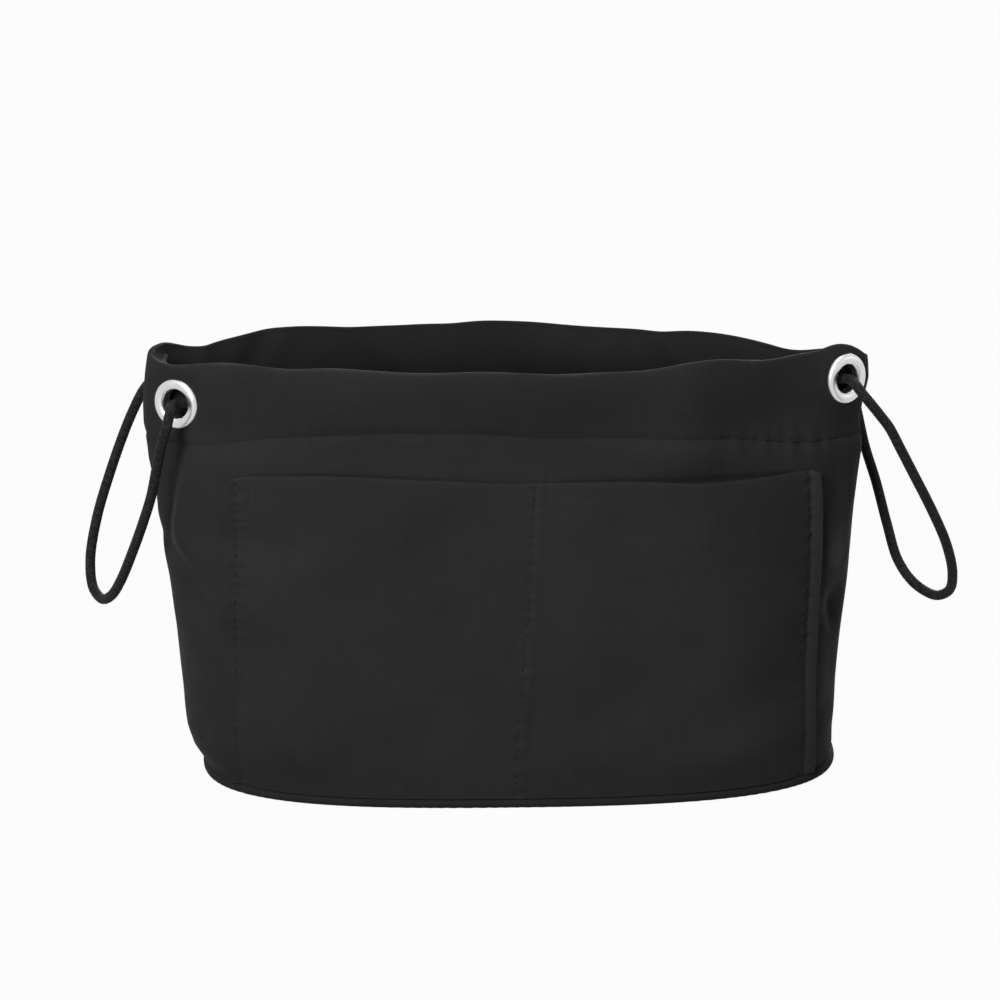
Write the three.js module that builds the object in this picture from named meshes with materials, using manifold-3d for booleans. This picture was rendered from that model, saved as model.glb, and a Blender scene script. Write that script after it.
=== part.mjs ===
// Purse organizer insert: an open drawstring bag of black nylon with a piped oval base, a patch
// pocket with two compartments on the front, and a cord that closes the mouth.
// Millimetres, +Z up. The front faces -Y, and the origin is the middle of the base's underside.

import * as THREE from 'three';
import { mergeVertices } from 'three/addons/utils/BufferGeometryUtils.js';
import Module from 'manifold-3d';

const wasm = await Module();
wasm.setup();

// Outside of the bag: level sections are superellipses that change from the base to the mouth
const BASE_WIDTH = 190;
const BASE_DEPTH = 88;
const MOUTH_WIDTH = 215;
const MOUTH_DEPTH = 56;
const BAG_HEIGHT = 128;
const BASE_SQUARENESS = 3;
const MOUTH_SQUARENESS = 2;
const LEAN_POWER = 1.4;

// Cloth layers and the clearances between them
const SHELL_CLOTH = 1;
const LINING_CLOTH = 0.6;
const LAYER_GAP = 0.3;
const SEAM_GAP = 0.3;

// Base
const PIPING_DIAMETER = 3.2;
const BASE_CLOTH = 1;
const BOARD_THICKNESS = 2;

// Front patch pocket
const POCKET_WIDTH = 172.5;
const POCKET_SHIFT = 4;
const POCKET_CLOTH = 1;
const POCKET_STANDOFF = 0.5;
const POCKET_BELOW_CASING = 12;
const POCKET_GAPE = 9;
const GAPE_POWER = 1.2;

// Drawstring cord and the loops that hang at the ends
const CORD_DIAMETER = 3;
const CORD_SIDES = 8;
const STUB_OUTBOARD = 1.9;
const STUB_FORWARD = 5.4;
const STUB_STRAIGHT = 1.4;
// Bend of the cord from its run to the eyelet: cord diameters along the band, and share of the run's depth
const EXIT_BEND = [[-3, 1], [-2, 1], [-1.07, 0.95], [-0.4, 0.66], [-0.07, 0.24], [0, -0.12], [0.07, -0.48]];
const RUN_POINTS = 6;
const RUN_BEFORE_EYELET = 15;

// Eyelets and washers
const EYELET_FLANGE = 15;
const EYELET_HOLE = 8.4;
const EYELET_METAL = 0.4;
const EYELET_DOME = 1.5;
const LEFT_EYELET_INSET = 8.4;
const RIGHT_EYELET_INSET = 7.5;
const LEFT_EYELETS_ABOVE_STITCH = 9;
const FRONT_RIGHT_EYELET_ABOVE_STITCH = 12.5;
const BACK_RIGHT_EYELET_ABOVE_STITCH = 8;
const WASHER_DIAMETER = 12;
const WASHER_THICKNESS = 0.4;
const WASHER_SAG = 0.9;
const EYELET_FIT = 0.15;
const LIP_FLARE = 0.7;
const ROUND_SEGMENTS = 18;

// Drawstring casing: a folded band, thin at its fold and stitch line and swollen round the cord
const CASING_HEIGHT = 21;
const CASING_PLY = 0.7;
const CASING_EDGE = 1.9;
const CASING_SEAM = 1.6;
const FOLD_ROUNDING = 0.8;
const MIDDLE_RELIEF = 1.7;
const END_RELIEF = 0.2;

// Steps of the meshes
const QUARTER_STEPS = 16;
const WALL_ROWS = 7;
const LINING_ROWS = 4;
const CASING_STEPS = 11;
const CASING_LEVELS = 6;
const POCKET_COLUMNS = 24;
const POCKET_ROWS = 8;
const LOOP_STEP = 3.5;
const LEAST_LOOP_STEPS = 6;
const WELD_DISTANCE = 1e-4;

// Routes of the cord loops, from the stub at the front eyelet to the stub at the back eyelet.
// The front leg, the bight and the back leg follow each other.
const LEFT_FRONT_LEG = [
  [-99.8, -18.2, 116], [-99.8, -19.5, 116], [-100.2, -21.8, 114.8], [-100.9, -23, 112],
  [-101.9, -23.1, 108.8], [-102.8, -22.8, 105.6],
];
const LEFT_BIGHT = [
  [-102.9, -22.75, 105.2], [-104.2, -21.9, 99], [-105.9, -20.6, 90.6], [-108.6, -18.6, 81.6],
  [-112, -15.6, 71.6], [-115.8, -11.4, 61.4], [-118.8, -7.2, 55.4], [-121.8, -2.6, 52.8],
  [-124.5, 2, 55], [-125.2, 6.2, 62.4], [-123, 11, 74], [-118.9, 15.6, 86.4],
  [-114.4, 19.2, 98], [-111.4, 21, 104.6],
];
const LEFT_BACK_LEG = [
  [-111.2, 21.1, 105], [-108.3, 22.5, 110.2], [-105.2, 23, 113.6], [-102.2, 21.9, 115.5],
  [-100, 19.6, 116], [-99.8, 18.2, 116],
];
const RIGHT_FRONT_LEG = [
  [101.1, -17.2, 119.5], [101.2, -18.7, 119.5], [102.2, -21.4, 118.3], [104.4, -22.8, 115.7],
  [108, -23, 111.2], [110.8, -22.7, 107.4],
];
const RIGHT_BIGHT = [
  [111, -22.65, 107], [114.2, -22, 101], [118.9, -20.8, 92], [124.8, -18.4, 80.6],
  [130.4, -14.4, 68.2], [133.4, -9.6, 57.4], [133.4, -4.6, 50.2], [130, 0, 47.2],
  [124.4, 4.6, 49.6], [119.9, 9.2, 55.6], [116.9, 13.6, 66], [113.9, 17.6, 78],
  [110.5, 20.2, 89], [108, 21.6, 100], [106.8, 22, 105.2],
];
const RIGHT_BACK_LEG = [
  [106.7, 22.02, 105.6], [105, 22.4, 109.4], [103.1, 22.2, 112.6], [101.4, 20.7, 114.6],
  [100.7, 19, 115], [100.65, 17.8, 115],
];

// Levels and depths that follow from the sizes above
const STITCH_LEVEL = BAG_HEIGHT - CASING_HEIGHT;
const WALL_FOOT = PIPING_DIAMETER + SEAM_GAP;
const BOARD_LEVEL = BASE_CLOTH + LAYER_GAP;
const BASE_LINING_LEVEL = BOARD_LEVEL + BOARD_THICKNESS + LAYER_GAP;
const LINING_DEPTH = SHELL_CLOTH + LAYER_GAP;
const BASE_INSET = PIPING_DIAMETER / 2 + LAYER_GAP;
const POCKET_TOP = STITCH_LEVEL - POCKET_BELOW_CASING;
const POCKET_FOOT = WALL_FOOT + SEAM_GAP;
const CASING_MIDDLE = CASING_HEIGHT / 2;
const RUN_LEVEL = STITCH_LEVEL + CASING_MIDDLE;
const WASHER_DEPTH = CASING_PLY + WASHER_SAG;
const LIP_DEPTH = WASHER_DEPTH + WASHER_THICKNESS + EYELET_FIT;
const EYELET_TAIL = LIP_DEPTH + EYELET_METAL;
const CORD_DEPTH = EYELET_TAIL + LAYER_GAP + CORD_DIAMETER / 2;
const TUNNEL_DEPTH = CORD_DEPTH + CORD_DIAMETER / 2 + LAYER_GAP + CASING_PLY;
const EYELET_OFFSET = Math.max(CASING_MIDDLE - BACK_RIGHT_EYELET_ABOVE_STITCH,
  FRONT_RIGHT_EYELET_ABOVE_STITCH - CASING_MIDDLE);
const CASING_SWELL = CASING_EDGE + (TUNNEL_DEPTH - CASING_EDGE)
  / Math.cos(Math.PI * EYELET_OFFSET / CASING_HEIGHT);
const BARREL_RADIUS = EYELET_HOLE / 2 + EYELET_METAL;

// Half width, half depth and exponent of the outside at height z
function sectionAt(z) {
  const rise = z / BAG_HEIGHT;
  const lean = Math.pow(Math.max(rise, 0), LEAN_POWER);
  return {
    halfWidth: (BASE_WIDTH + (MOUTH_WIDTH - BASE_WIDTH) * rise) / 2,
    halfDepth: (BASE_DEPTH + (MOUTH_DEPTH - BASE_DEPTH) * lean) / 2,
    squareness: BASE_SQUARENESS + (MOUTH_SQUARENESS - BASE_SQUARENESS) * rise,
  };
}

// A point of the section at height z, `depth` inside the outer surface. Angle 0 is the end at +X and
// a quarter turn is the middle of the back, at +Y.
function wallPoint(z, angle, depth = 0) {
  const { halfWidth, halfDepth, squareness } = sectionAt(z);
  const cos = Math.cos(angle);
  const sin = Math.sin(angle);
  const power = (value, exponent) => Math.sign(value) * Math.pow(Math.abs(value), exponent);
  const outward = new THREE.Vector2(
    power(cos, 2 - 2 / squareness) / halfWidth,
    power(sin, 2 - 2 / squareness) / halfDepth,
  ).normalize();
  return new THREE.Vector3(
    halfWidth * power(cos, 2 / squareness) - depth * outward.x,
    halfDepth * power(sin, 2 / squareness) - depth * outward.y,
    z,
  );
}

// Angle in the first quarter at which the outside at height z has the given x
function angleAtX(x, z) {
  const { halfWidth, squareness } = sectionAt(z);
  return Math.acos(Math.pow(Math.min(x / halfWidth, 1), squareness / 2));
}

const span = (count, first, last) =>
  Array.from({ length: count + 1 }, (_, i) => first + (last - first) * i / count);

// A geometry with shared corners and faces that point out
function closed(geometry) {
  geometry.deleteAttribute('normal');
  geometry.deleteAttribute('uv');
  const merged = mergeVertices(geometry, WELD_DISTANCE);
  const position = merged.attributes.position;
  const index = merged.index.array;
  const corner = (k) => new THREE.Vector3().fromBufferAttribute(position, index[k]);
  let volume = 0;
  for (let k = 0; k < index.length; k += 3) {
    volume += corner(k).dot(corner(k + 1).cross(corner(k + 2)));
  }
  if (volume < 0) {
    for (let k = 0; k < index.length; k += 3) {
      [index[k], index[k + 1]] = [index[k + 1], index[k]];
    }
  }
  merged.computeVertexNormals();
  return merged;
}

function geometryOf(points, index) {
  const geometry = new THREE.BufferGeometry();
  const values = points.flatMap((p) => p.toArray());
  geometry.setAttribute('position', new THREE.Float32BufferAttribute(values, 3));
  geometry.setIndex(index);
  return geometry;
}

// The solid between two like grids of points, walled in along its edges. With `loop`, every row
// closes on itself.
function solidBetween(outer, inner, loop = false) {
  const rows = outer.length;
  const columns = outer[0].length;
  const under = rows * columns;
  const steps = loop ? columns : columns - 1;
  const last = (rows - 1) * columns;
  const index = [];
  const quad = (a, b, c, d) => index.push(a, b, c, a, c, d);
  for (let i = 0; i < rows - 1; i++) {
    for (let j = 0; j < steps; j++) {
      const a = i * columns + j;
      const b = i * columns + (j + 1) % columns;
      quad(a, b, b + columns, a + columns);
      quad(under + a, under + a + columns, under + b + columns, under + b);
    }
  }
  for (let j = 0; j < steps; j++) {
    const next = (j + 1) % columns;
    quad(next, j, under + j, under + next);
    quad(last + j, last + next, under + last + next, under + last + j);
  }
  for (let i = 0; i < rows - 1 && !loop; i++) {
    const a = i * columns;
    const b = a + columns - 1;
    quad(a, a + columns, under + a + columns, under + a);
    quad(b + columns, b, under + b, under + b + columns);
  }
  return closed(geometryOf([...outer.flat(), ...inner.flat()], index));
}

// A round rod whose rings stand square to the path at each of its points
function rodThrough(path, radius) {
  const index = [];
  const points = [];
  let side = new THREE.Vector3(0, 0, 1);
  path.forEach((point, i) => {
    const ahead = path[Math.min(i + 1, path.length - 1)];
    const behind = path[Math.max(i - 1, 0)];
    const along = ahead.clone().sub(behind).normalize();
    side = side.clone().addScaledVector(along, -side.dot(along)).normalize();
    const other = along.clone().cross(side);
    for (const turn of span(CORD_SIDES, 0, 2 * Math.PI).slice(0, CORD_SIDES)) {
      const ring = side.clone().multiplyScalar(Math.cos(turn)).addScaledVector(other, Math.sin(turn));
      points.push(point.clone().addScaledVector(ring, radius));
    }
  });
  const end = points.length - CORD_SIDES;
  for (let k = 0; k < end; k++) {
    const next = k % CORD_SIDES === CORD_SIDES - 1 ? k + 1 - CORD_SIDES : k + 1;
    index.push(k, next, next + CORD_SIDES, k, next + CORD_SIDES, k + CORD_SIDES);
  }
  for (let k = 1; k < CORD_SIDES - 1; k++) {
    index.push(0, k + 1, k);
    index.push(end, end + k, end + k + 1);
  }
  return closed(geometryOf(points, index));
}

// A tube along a smooth curve through hand-chosen points
function cordAlong(route) {
  const curve = new THREE.CatmullRomCurve3(route.map((p) => new THREE.Vector3(...p)), false, 'centripetal');
  const section = new THREE.Shape(span(CORD_SIDES, 0, 2 * Math.PI).slice(0, CORD_SIDES).map((turn) =>
    new THREE.Vector2(Math.cos(turn), Math.sin(turn)).multiplyScalar(CORD_DIAMETER / 2)));
  const steps = Math.max(LEAST_LOOP_STEPS, Math.round(curve.getLength() / LOOP_STEP));
  return closed(new THREE.ExtrudeGeometry(section, { steps, extrudePath: curve, bevelEnabled: false }));
}

function toSolid(geometry) {
  return new wasm.Manifold(new wasm.Mesh({
    numProp: 3,
    vertProperties: Float32Array.from(geometry.attributes.position.array),
    triVerts: Uint32Array.from(geometry.index.array),
  }));
}

function cut(geometry, tool) {
  const mesh = toSolid(geometry).subtract(toSolid(tool)).getMesh();
  const result = new THREE.BufferGeometry();
  result.setAttribute('position', new THREE.Float32BufferAttribute(Array.from(mesh.vertProperties), 3));
  result.setIndex(Array.from(mesh.triVerts));
  return closed(result);
}

// Materials, one for each mesh
const cloth = (color) => () => new THREE.MeshStandardMaterial({ color, roughness: 0.75, metalness: 0 });
const shellNylon = cloth(0x292927);
const liningNylon = cloth(0x212120);
const pipingNylon = cloth(0x282828);
const cordBraid = cloth(0x1c1c1c);
const greyBoard = cloth(0x8a8880);
const nickel = () => new THREE.MeshStandardMaterial({ color: 0xdcdcdc, roughness: 0.25, metalness: 1 });

const bag = new THREE.Group();

function addPiece(name, geometry, material) {
  const piece = new THREE.Mesh(geometry, material());
  piece.name = name;
  bag.add(piece);
  return piece;
}

// One half of a wall layer, from its end at +X round the front or back to its end at -X
function wallHalf(side, foot, top, rows, depth, thickness) {
  const angles = span(2 * QUARTER_STEPS, 0, Math.PI);
  const layer = (inset) => span(rows, foot, top).map((z) => angles.map((angle) => {
    const point = wallPoint(z, angle, inset);
    point.y = side * Math.max(point.y, SEAM_GAP / 2);
    return point;
  }));
  return solidBetween(layer(depth), layer(depth + thickness));
}

function buildWalls() {
  for (const [name, side] of [['front', -1], ['back', 1]]) {
    const shell = wallHalf(side, WALL_FOOT, STITCH_LEVEL, WALL_ROWS, 0, SHELL_CLOTH);
    addPiece(`${name}_panel`, shell, shellNylon);
    const lining = wallHalf(side, BASE_LINING_LEVEL, STITCH_LEVEL, LINING_ROWS, LINING_DEPTH, LINING_CLOTH);
    addPiece(`${name}_lining`, lining, liningNylon);
  }
}

// A flat oval plate, `inset` inside the outline of the base
function ovalPlate(level, thickness, inset) {
  const turns = span(4 * QUARTER_STEPS, 0, 2 * Math.PI).slice(0, 4 * QUARTER_STEPS);
  const outline = turns.map((angle) => {
    const point = wallPoint(0, angle, inset);
    return new THREE.Vector2(point.x, point.y);
  });
  const depth = thickness;
  const plate = new THREE.ExtrudeGeometry(new THREE.Shape(outline), { depth, bevelEnabled: false });
  return closed(plate.translate(0, 0, level));
}

// The piping is a closed ring of round section along the outline of the base
function pipingRing() {
  const radius = PIPING_DIAMETER / 2;
  const around = 4 * QUARTER_STEPS;
  const points = [];
  const index = [];
  for (let i = 0; i < around; i++) {
    for (let j = 0; j < CORD_SIDES; j++) {
      const turn = 2 * Math.PI * j / CORD_SIDES;
      const point = wallPoint(0, 2 * Math.PI * i / around, radius * Math.cos(turn));
      points.push(point.setZ(radius + radius * Math.sin(turn)));
      const here = i * CORD_SIDES;
      const ahead = (i + 1) % around * CORD_SIDES;
      const next = (j + 1) % CORD_SIDES;
      index.push(here + j, ahead + j, ahead + next, here + j, ahead + next, here + next);
    }
  }
  return closed(geometryOf(points, index));
}

function buildBase() {
  addPiece('base_panel', ovalPlate(0, BASE_CLOTH, BASE_INSET), shellNylon);
  addPiece('base_board', ovalPlate(BOARD_LEVEL, BOARD_THICKNESS, BASE_INSET), greyBoard);
  const liningInset = LINING_DEPTH + LINING_CLOTH + LAYER_GAP;
  addPiece('base_lining', ovalPlate(BASE_LINING_LEVEL, LINING_CLOTH, liningInset), liningNylon);
  addPiece('base_piping', pipingRing(), pipingNylon);
}

// How far the pocket stands off the front panel: sewn down at its sides, foot and middle line,
// and gaping towards the top of each compartment
function pocketGape(across, rise) {
  return POCKET_GAPE * Math.abs(Math.sin(2 * Math.PI * across)) * Math.pow(rise, GAPE_POWER);
}

function buildPocket() {
  const place = (across, rise, outset) => {
    const z = POCKET_FOOT + (POCKET_TOP - POCKET_FOOT) * rise;
    const x = POCKET_SHIFT + (across - 0.5) * POCKET_WIDTH;
    const standoff = POCKET_STANDOFF + pocketGape(across, rise) + outset;
    const point = wallPoint(z, angleAtX(Math.abs(x), z), -standoff);
    return new THREE.Vector3(Math.sign(x) * point.x, -point.y, z);
  };
  const columns = span(POCKET_COLUMNS, 0, 1);
  const layer = (outset) => span(POCKET_ROWS, 0, 1).map((rise) =>
    columns.map((across) => place(across, rise, outset)));
  addPiece('front_pocket', solidBetween(layer(POCKET_CLOTH), layer(0)), shellNylon);
}

// The seat of an eyelet at a level and an inset from the end of the bag, in the quarter at +X and +Y:
// its centre, the outward normal of the band there and the level tangent towards the end
function eyeletSeat(level, inset) {
  const angle = angleAtX(sectionAt(level).halfWidth - inset, level);
  const centre = wallPoint(level, angle);
  const reach = 1e-3;
  const outboard = wallPoint(level, angle - reach).sub(centre).normalize();
  const upward = wallPoint(level + reach, angle).sub(centre).normalize();
  const normal = upward.clone().cross(outboard).normalize();
  return { centre, normal, outboard };
}

// Thickness of the casing at a height above the stitch line
function casingThickness(height) {
  return CASING_EDGE + (CASING_SWELL - CASING_EDGE) * Math.sin(Math.PI * height / CASING_HEIGHT);
}

// Heights and depths of the casing's section, up its outer ply and down its inner ply. `ply` is the
// cloth taken off to leave the tunnel.
function casingSection(ply) {
  const low = ply > 0 ? CASING_SEAM : 0;
  const high = CASING_HEIGHT - low;
  const heights = [...span(CASING_LEVELS, low, high - FOLD_ROUNDING), high];
  const fold = (height) => (ply === 0 && height === high ? CASING_EDGE / 4 : 0);
  const outerPly = heights.map((height) => ({ height, depth: ply + fold(height) }));
  const innerPly = heights.map((height) => ({ height, depth: casingThickness(height) - ply - fold(height) }));
  return [...outerPly, ...innerPly.reverse()];
}

// One quarter of the casing, from the end of the bag to the middle of its front or back
function casingQuarter(place) {
  const lastAngle = angleAtX(MIDDLE_RELIEF, RUN_LEVEL);
  const surface = (ply) => span(CASING_STEPS, 0, lastAngle).map((angle) =>
    casingSection(ply).map(({ height, depth }) => {
      const point = wallPoint(STITCH_LEVEL + SEAM_GAP + height, angle, depth);
      point.y = Math.max(point.y, SEAM_GAP / 2 + END_RELIEF * depth);
      return place(point);
    }));
  return solidBetween(surface(0), surface(CASING_PLY), true);
}

// The cord in one quarter: its run inside the casing, which rises or drops to the eyelet's level,
// then out through the eyelet to a short stub
function channelCord(place, seat) {
  const { centre, normal, outboard } = seat;
  const runEnd = centre.x - RUN_BEFORE_EYELET;
  const levels = span(RUN_POINTS, RUN_LEVEL, centre.z);
  const run = span(RUN_POINTS, MIDDLE_RELIEF + SEAM_GAP, runEnd).map((x, i) =>
    wallPoint(levels[i], angleAtX(x, levels[i]), CORD_DEPTH));
  const exit = EXIT_BEND.map(([along, share]) => centre.clone()
    .addScaledVector(outboard, along * CORD_DIAMETER)
    .addScaledVector(normal, -share * CORD_DEPTH));
  const pivot = stubEnd(seat);
  const straight = pivot.clone().setY(pivot.y - STUB_STRAIGHT);
  return rodThrough([...run, ...exit, straight, pivot].map(place), CORD_DIAMETER / 2);
}

// Where the stub ends: the loops swing about the line through the two stubs at an end of the bag
function stubEnd({ centre }) {
  return centre.clone().add(new THREE.Vector3(STUB_OUTBOARD, STUB_FORWARD, 0));
}

function lathe(profile) {
  const points = profile.map(([radius, height]) => new THREE.Vector2(radius, height));
  return closed(new THREE.LatheGeometry([...points, points[0]], ROUND_SEGMENTS));
}

// A domed flange outside, a barrel through the cloth and a rolled lip behind the washer
function eyeletBody() {
  const hole = EYELET_HOLE / 2;
  const flange = EYELET_FLANGE / 2;
  const crown = (hole + flange) / 2;
  return lathe([
    [hole, -EYELET_TAIL],
    [hole, EYELET_DOME - 2 * EYELET_METAL],
    [(hole + crown) / 2, EYELET_DOME - EYELET_METAL / 4],
    [crown, EYELET_DOME],
    [(crown + flange) / 2, EYELET_DOME - EYELET_METAL / 2],
    [flange, EYELET_METAL],
    [flange, 0],
    [BARREL_RADIUS, 0],
    [BARREL_RADIUS, -LIP_DEPTH],
    [BARREL_RADIUS + LIP_FLARE, -LIP_DEPTH],
    [BARREL_RADIUS + LIP_FLARE, -EYELET_TAIL],
  ]);
}

function washerBody() {
  const inside = BARREL_RADIUS + EYELET_FIT;
  const outside = WASHER_DIAMETER / 2;
  return lathe([
    [inside, -WASHER_DEPTH - WASHER_THICKNESS],
    [inside, -WASHER_DEPTH],
    [outside, -WASHER_DEPTH],
    [outside, -WASHER_DEPTH - WASHER_THICKNESS],
  ]);
}

// A round punch along +Y, for the hole in the outer ply
function eyeletPunch() {
  const punch = new THREE.CylinderGeometry(BARREL_RADIUS + LAYER_GAP, BARREL_RADIUS + LAYER_GAP,
    EYELET_DOME + EYELET_TAIL, ROUND_SEGMENTS);
  return closed(punch.translate(0, (EYELET_DOME - EYELET_TAIL) / 2, 0));
}

// A quarter of the band: its name, the side of the bag it is on and the height of its eyelet
function buildBandQuarter(name, xSign, ySign, eyeletHeight) {
  const seat = eyeletSeat(STITCH_LEVEL + eyeletHeight, xSign < 0 ? LEFT_EYELET_INSET : RIGHT_EYELET_INSET);
  const place = (point) => new THREE.Vector3(xSign * point.x, ySign * point.y, point.z);
  const pose = new THREE.Matrix4().compose(
    place(seat.centre),
    new THREE.Quaternion().setFromUnitVectors(new THREE.Vector3(0, 1, 0), place(seat.normal)),
    new THREE.Vector3(1, 1, 1),
  );
  const punch = eyeletPunch().applyMatrix4(pose);
  addPiece(`${name}_casing`, cut(casingQuarter(place), punch), shellNylon);
  addPiece(`${name}_eyelet`, eyeletBody(), nickel).applyMatrix4(pose);
  addPiece(`${name}_washer`, washerBody(), nickel).applyMatrix4(pose);
  addPiece(`${name}_cord`, channelCord(place, seat), cordBraid);
}

function buildBand() {
  buildBandQuarter('front_left', -1, -1, LEFT_EYELETS_ABOVE_STITCH);
  buildBandQuarter('front_right', 1, -1, FRONT_RIGHT_EYELET_ABOVE_STITCH);
  buildBandQuarter('back_left', -1, 1, LEFT_EYELETS_ABOVE_STITCH);
  buildBandQuarter('back_right', 1, 1, BACK_RIGHT_EYELET_ABOVE_STITCH);
}

function buildLoops() {
  addPiece('left_loop_front_leg', cordAlong(LEFT_FRONT_LEG), cordBraid);
  addPiece('left_loop_bight', cordAlong(LEFT_BIGHT), cordBraid);
  addPiece('left_loop_back_leg', cordAlong(LEFT_BACK_LEG), cordBraid);
  addPiece('right_loop_front_leg', cordAlong(RIGHT_FRONT_LEG), cordBraid);
  addPiece('right_loop_bight', cordAlong(RIGHT_BIGHT), cordBraid);
  addPiece('right_loop_back_leg', cordAlong(RIGHT_BACK_LEG), cordBraid);
}

buildBase();
buildWalls();
buildPocket();
buildBand();
buildLoops();

export default bag;
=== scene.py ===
"""Looks of the purse organizer insert: an open drawstring bag of black nylon, dressed around its solids.

Shapes are worked out in millimetres, in the frame of the solids, and are put into metres with MM. A turn is
a place round the bag: it counts quarter turns from the right end, by way of the back.
"""

import bpy
import numpy as np
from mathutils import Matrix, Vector


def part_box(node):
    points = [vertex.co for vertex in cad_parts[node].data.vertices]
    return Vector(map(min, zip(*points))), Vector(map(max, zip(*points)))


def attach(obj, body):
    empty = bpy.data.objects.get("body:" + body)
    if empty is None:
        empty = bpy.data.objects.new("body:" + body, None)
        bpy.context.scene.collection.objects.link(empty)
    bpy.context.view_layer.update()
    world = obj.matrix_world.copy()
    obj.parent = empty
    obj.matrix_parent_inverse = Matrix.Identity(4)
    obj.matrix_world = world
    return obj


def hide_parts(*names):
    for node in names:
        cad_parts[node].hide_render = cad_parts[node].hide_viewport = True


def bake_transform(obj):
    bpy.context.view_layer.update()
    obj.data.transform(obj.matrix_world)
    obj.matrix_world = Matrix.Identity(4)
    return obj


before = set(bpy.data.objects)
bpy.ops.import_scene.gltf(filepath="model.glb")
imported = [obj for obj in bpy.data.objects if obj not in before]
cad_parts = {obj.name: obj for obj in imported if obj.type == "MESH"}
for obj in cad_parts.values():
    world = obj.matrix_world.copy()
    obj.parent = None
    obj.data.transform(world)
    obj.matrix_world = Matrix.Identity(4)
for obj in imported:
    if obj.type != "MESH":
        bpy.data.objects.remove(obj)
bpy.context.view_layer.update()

MM = 0.001

# Turns at the middle of the back, the left end, the middle of the front and the right end
BACK = 1
LEFT_END = 2
FRONT = 3
RIGHT_END = 4
QUARTERS = {
    "back_right": (0, BACK),
    "back_left": (BACK, LEFT_END),
    "front_left": (LEFT_END, FRONT),
    "front_right": (FRONT, RIGHT_END),
}

# Outside of the bag, as its solids have it: superellipses that change from the base to the mouth
PIPING_LOW, PIPING_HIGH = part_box("base_piping")
PIPING_RADIUS = (PIPING_HIGH.z - PIPING_LOW.z) / 2 / MM
BASE_HALF_WIDTH = PIPING_HIGH.x / MM - PIPING_RADIUS
BASE_HALF_DEPTH = PIPING_HIGH.y / MM - PIPING_RADIUS
MOUTH_HALF_WIDTH = 107.5
MOUTH_HALF_DEPTH = 28.0
BAG_HEIGHT = 128.0
BASE_SQUARENESS = 3.0
MOUTH_SQUARENESS = 2.0
LEAN_POWER = 1.4
FOOT_OVERLAP = 0.4
WALL_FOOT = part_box("front_panel")[0].z / MM - FOOT_OVERLAP

# By turn: height of the rim over the solids' rim, and height of the casing's stitch line
RIM_HEIGHTS = [
    (0.0, -4.2), (0.14, -5.2), (0.27, -5.2), (0.33, -6.2), (0.4, -6.9), (0.47, -5.4), (0.56, -3.5),
    (0.65, -2.8), (0.78, -2.6), (0.86, -1.9), (0.93, -0.8), (1.03, 0.4), (1.12, -0.2), (1.2, -0.4),
    (1.34, 0.6), (1.42, 1.1), (1.5, 0.0), (1.6, -1.6), (1.66, -2.5), (1.72, -0.9), (1.78, 0.9), (1.9, 1.3),
    (2.0, 0.8), (2.1, 0.4), (2.2, -0.4), (2.26, -0.6), (2.33, 0.3), (2.42, 1.5), (2.467, 1.6),
    (2.517, 1.3), (2.564, 0.8), (2.61, 0.9), (2.67, 1.7), (2.767, 1.0), (2.804, 0.6), (2.86, 0.4),
    (2.948, 0.8), (3.02, 0.0), (3.08, -0.6), (3.127, -0.2), (3.2, -0.2), (3.24, 0.3), (3.277, 1.5),
    (3.317, 2.7), (3.359, 2.7), (3.402, 2.0), (3.447, 0.8), (3.5, 0.2), (3.59, 0.6), (3.645, 0.4),
    (3.71, 1.9), (3.78, 1.1), (3.86, -1.2), (3.93, -3.2),
]
STITCH_HEIGHTS = [
    (0.0, 101.5), (0.3, 104.0), (0.7, 107.0), (1.0, 108.3), (1.4, 107.6), (1.7, 105.6), (2.0, 104.2),
    (2.28, 104.0), (2.46, 106.8), (2.53, 108.2), (2.61, 109.1), (2.7, 110.0), (2.78, 110.7), (2.86, 110.3),
    (2.94, 110.4), (2.98, 109.5), (3.02, 108.7), (3.15, 108.0), (3.32, 107.7), (3.4, 106.7), (3.53, 103.3),
    (3.6, 102.3), (3.7, 102.2),
]
RIM_SOFTENING = 0.035
STITCH_SOFTENING = 0.05

# By height: how far the ends stand out past the solids
LEFT_END_SWELL = [
    (0, -3.4), (4, -2.4), (9, 0.2), (14, 0.7), (24, 0.1), (45, -0.3), (60, 0.1), (70, 0.8), (84, 1.8),
    (96, 3.4), (106, 3.4), (113, 2.2), (119, 0.8), (124, -0.2), (130, -1.4),
]
RIGHT_END_SWELL = [
    (0, 0.9), (6, 1.2), (12, 0.4), (25, 0.1), (40, 0.3), (64, 0.7), (84, 1.7), (95, 1.9), (101, 1.2),
    (105, -0.4), (110, -0.4), (117, 0.5), (124, 0.0), (131, -3.2),
]
END_POWER = 7

# By x: how far the band stands out in front at the right, with a bend and then a straight run to the eyelet
RIGHT_BEND = [
    (20, 0), (32, 0.9), (42, 2.7), (49, 4.1), (53, 4.3), (60, 2.6), (70, 0.4), (80, -1.0), (88, -0.9),
    (98, 0),
]
BEND_SOFTENING = 3.0

# By height: crest of the fold at the left end, in quarter turns from the end towards the front
LEFT_CREST = [
    (46, 0.47), (53, 0.45), (59, 0.435), (63.8, 0.425), (66, 0.41), (69.5, 0.385), (73, 0.335), (77, 0.275),
    (83, 0.29), (93, 0.335), (104.5, 0.37),
]
CREST_SOFTENING = 3.5
WALL_PER_TURN = 83.0

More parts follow.
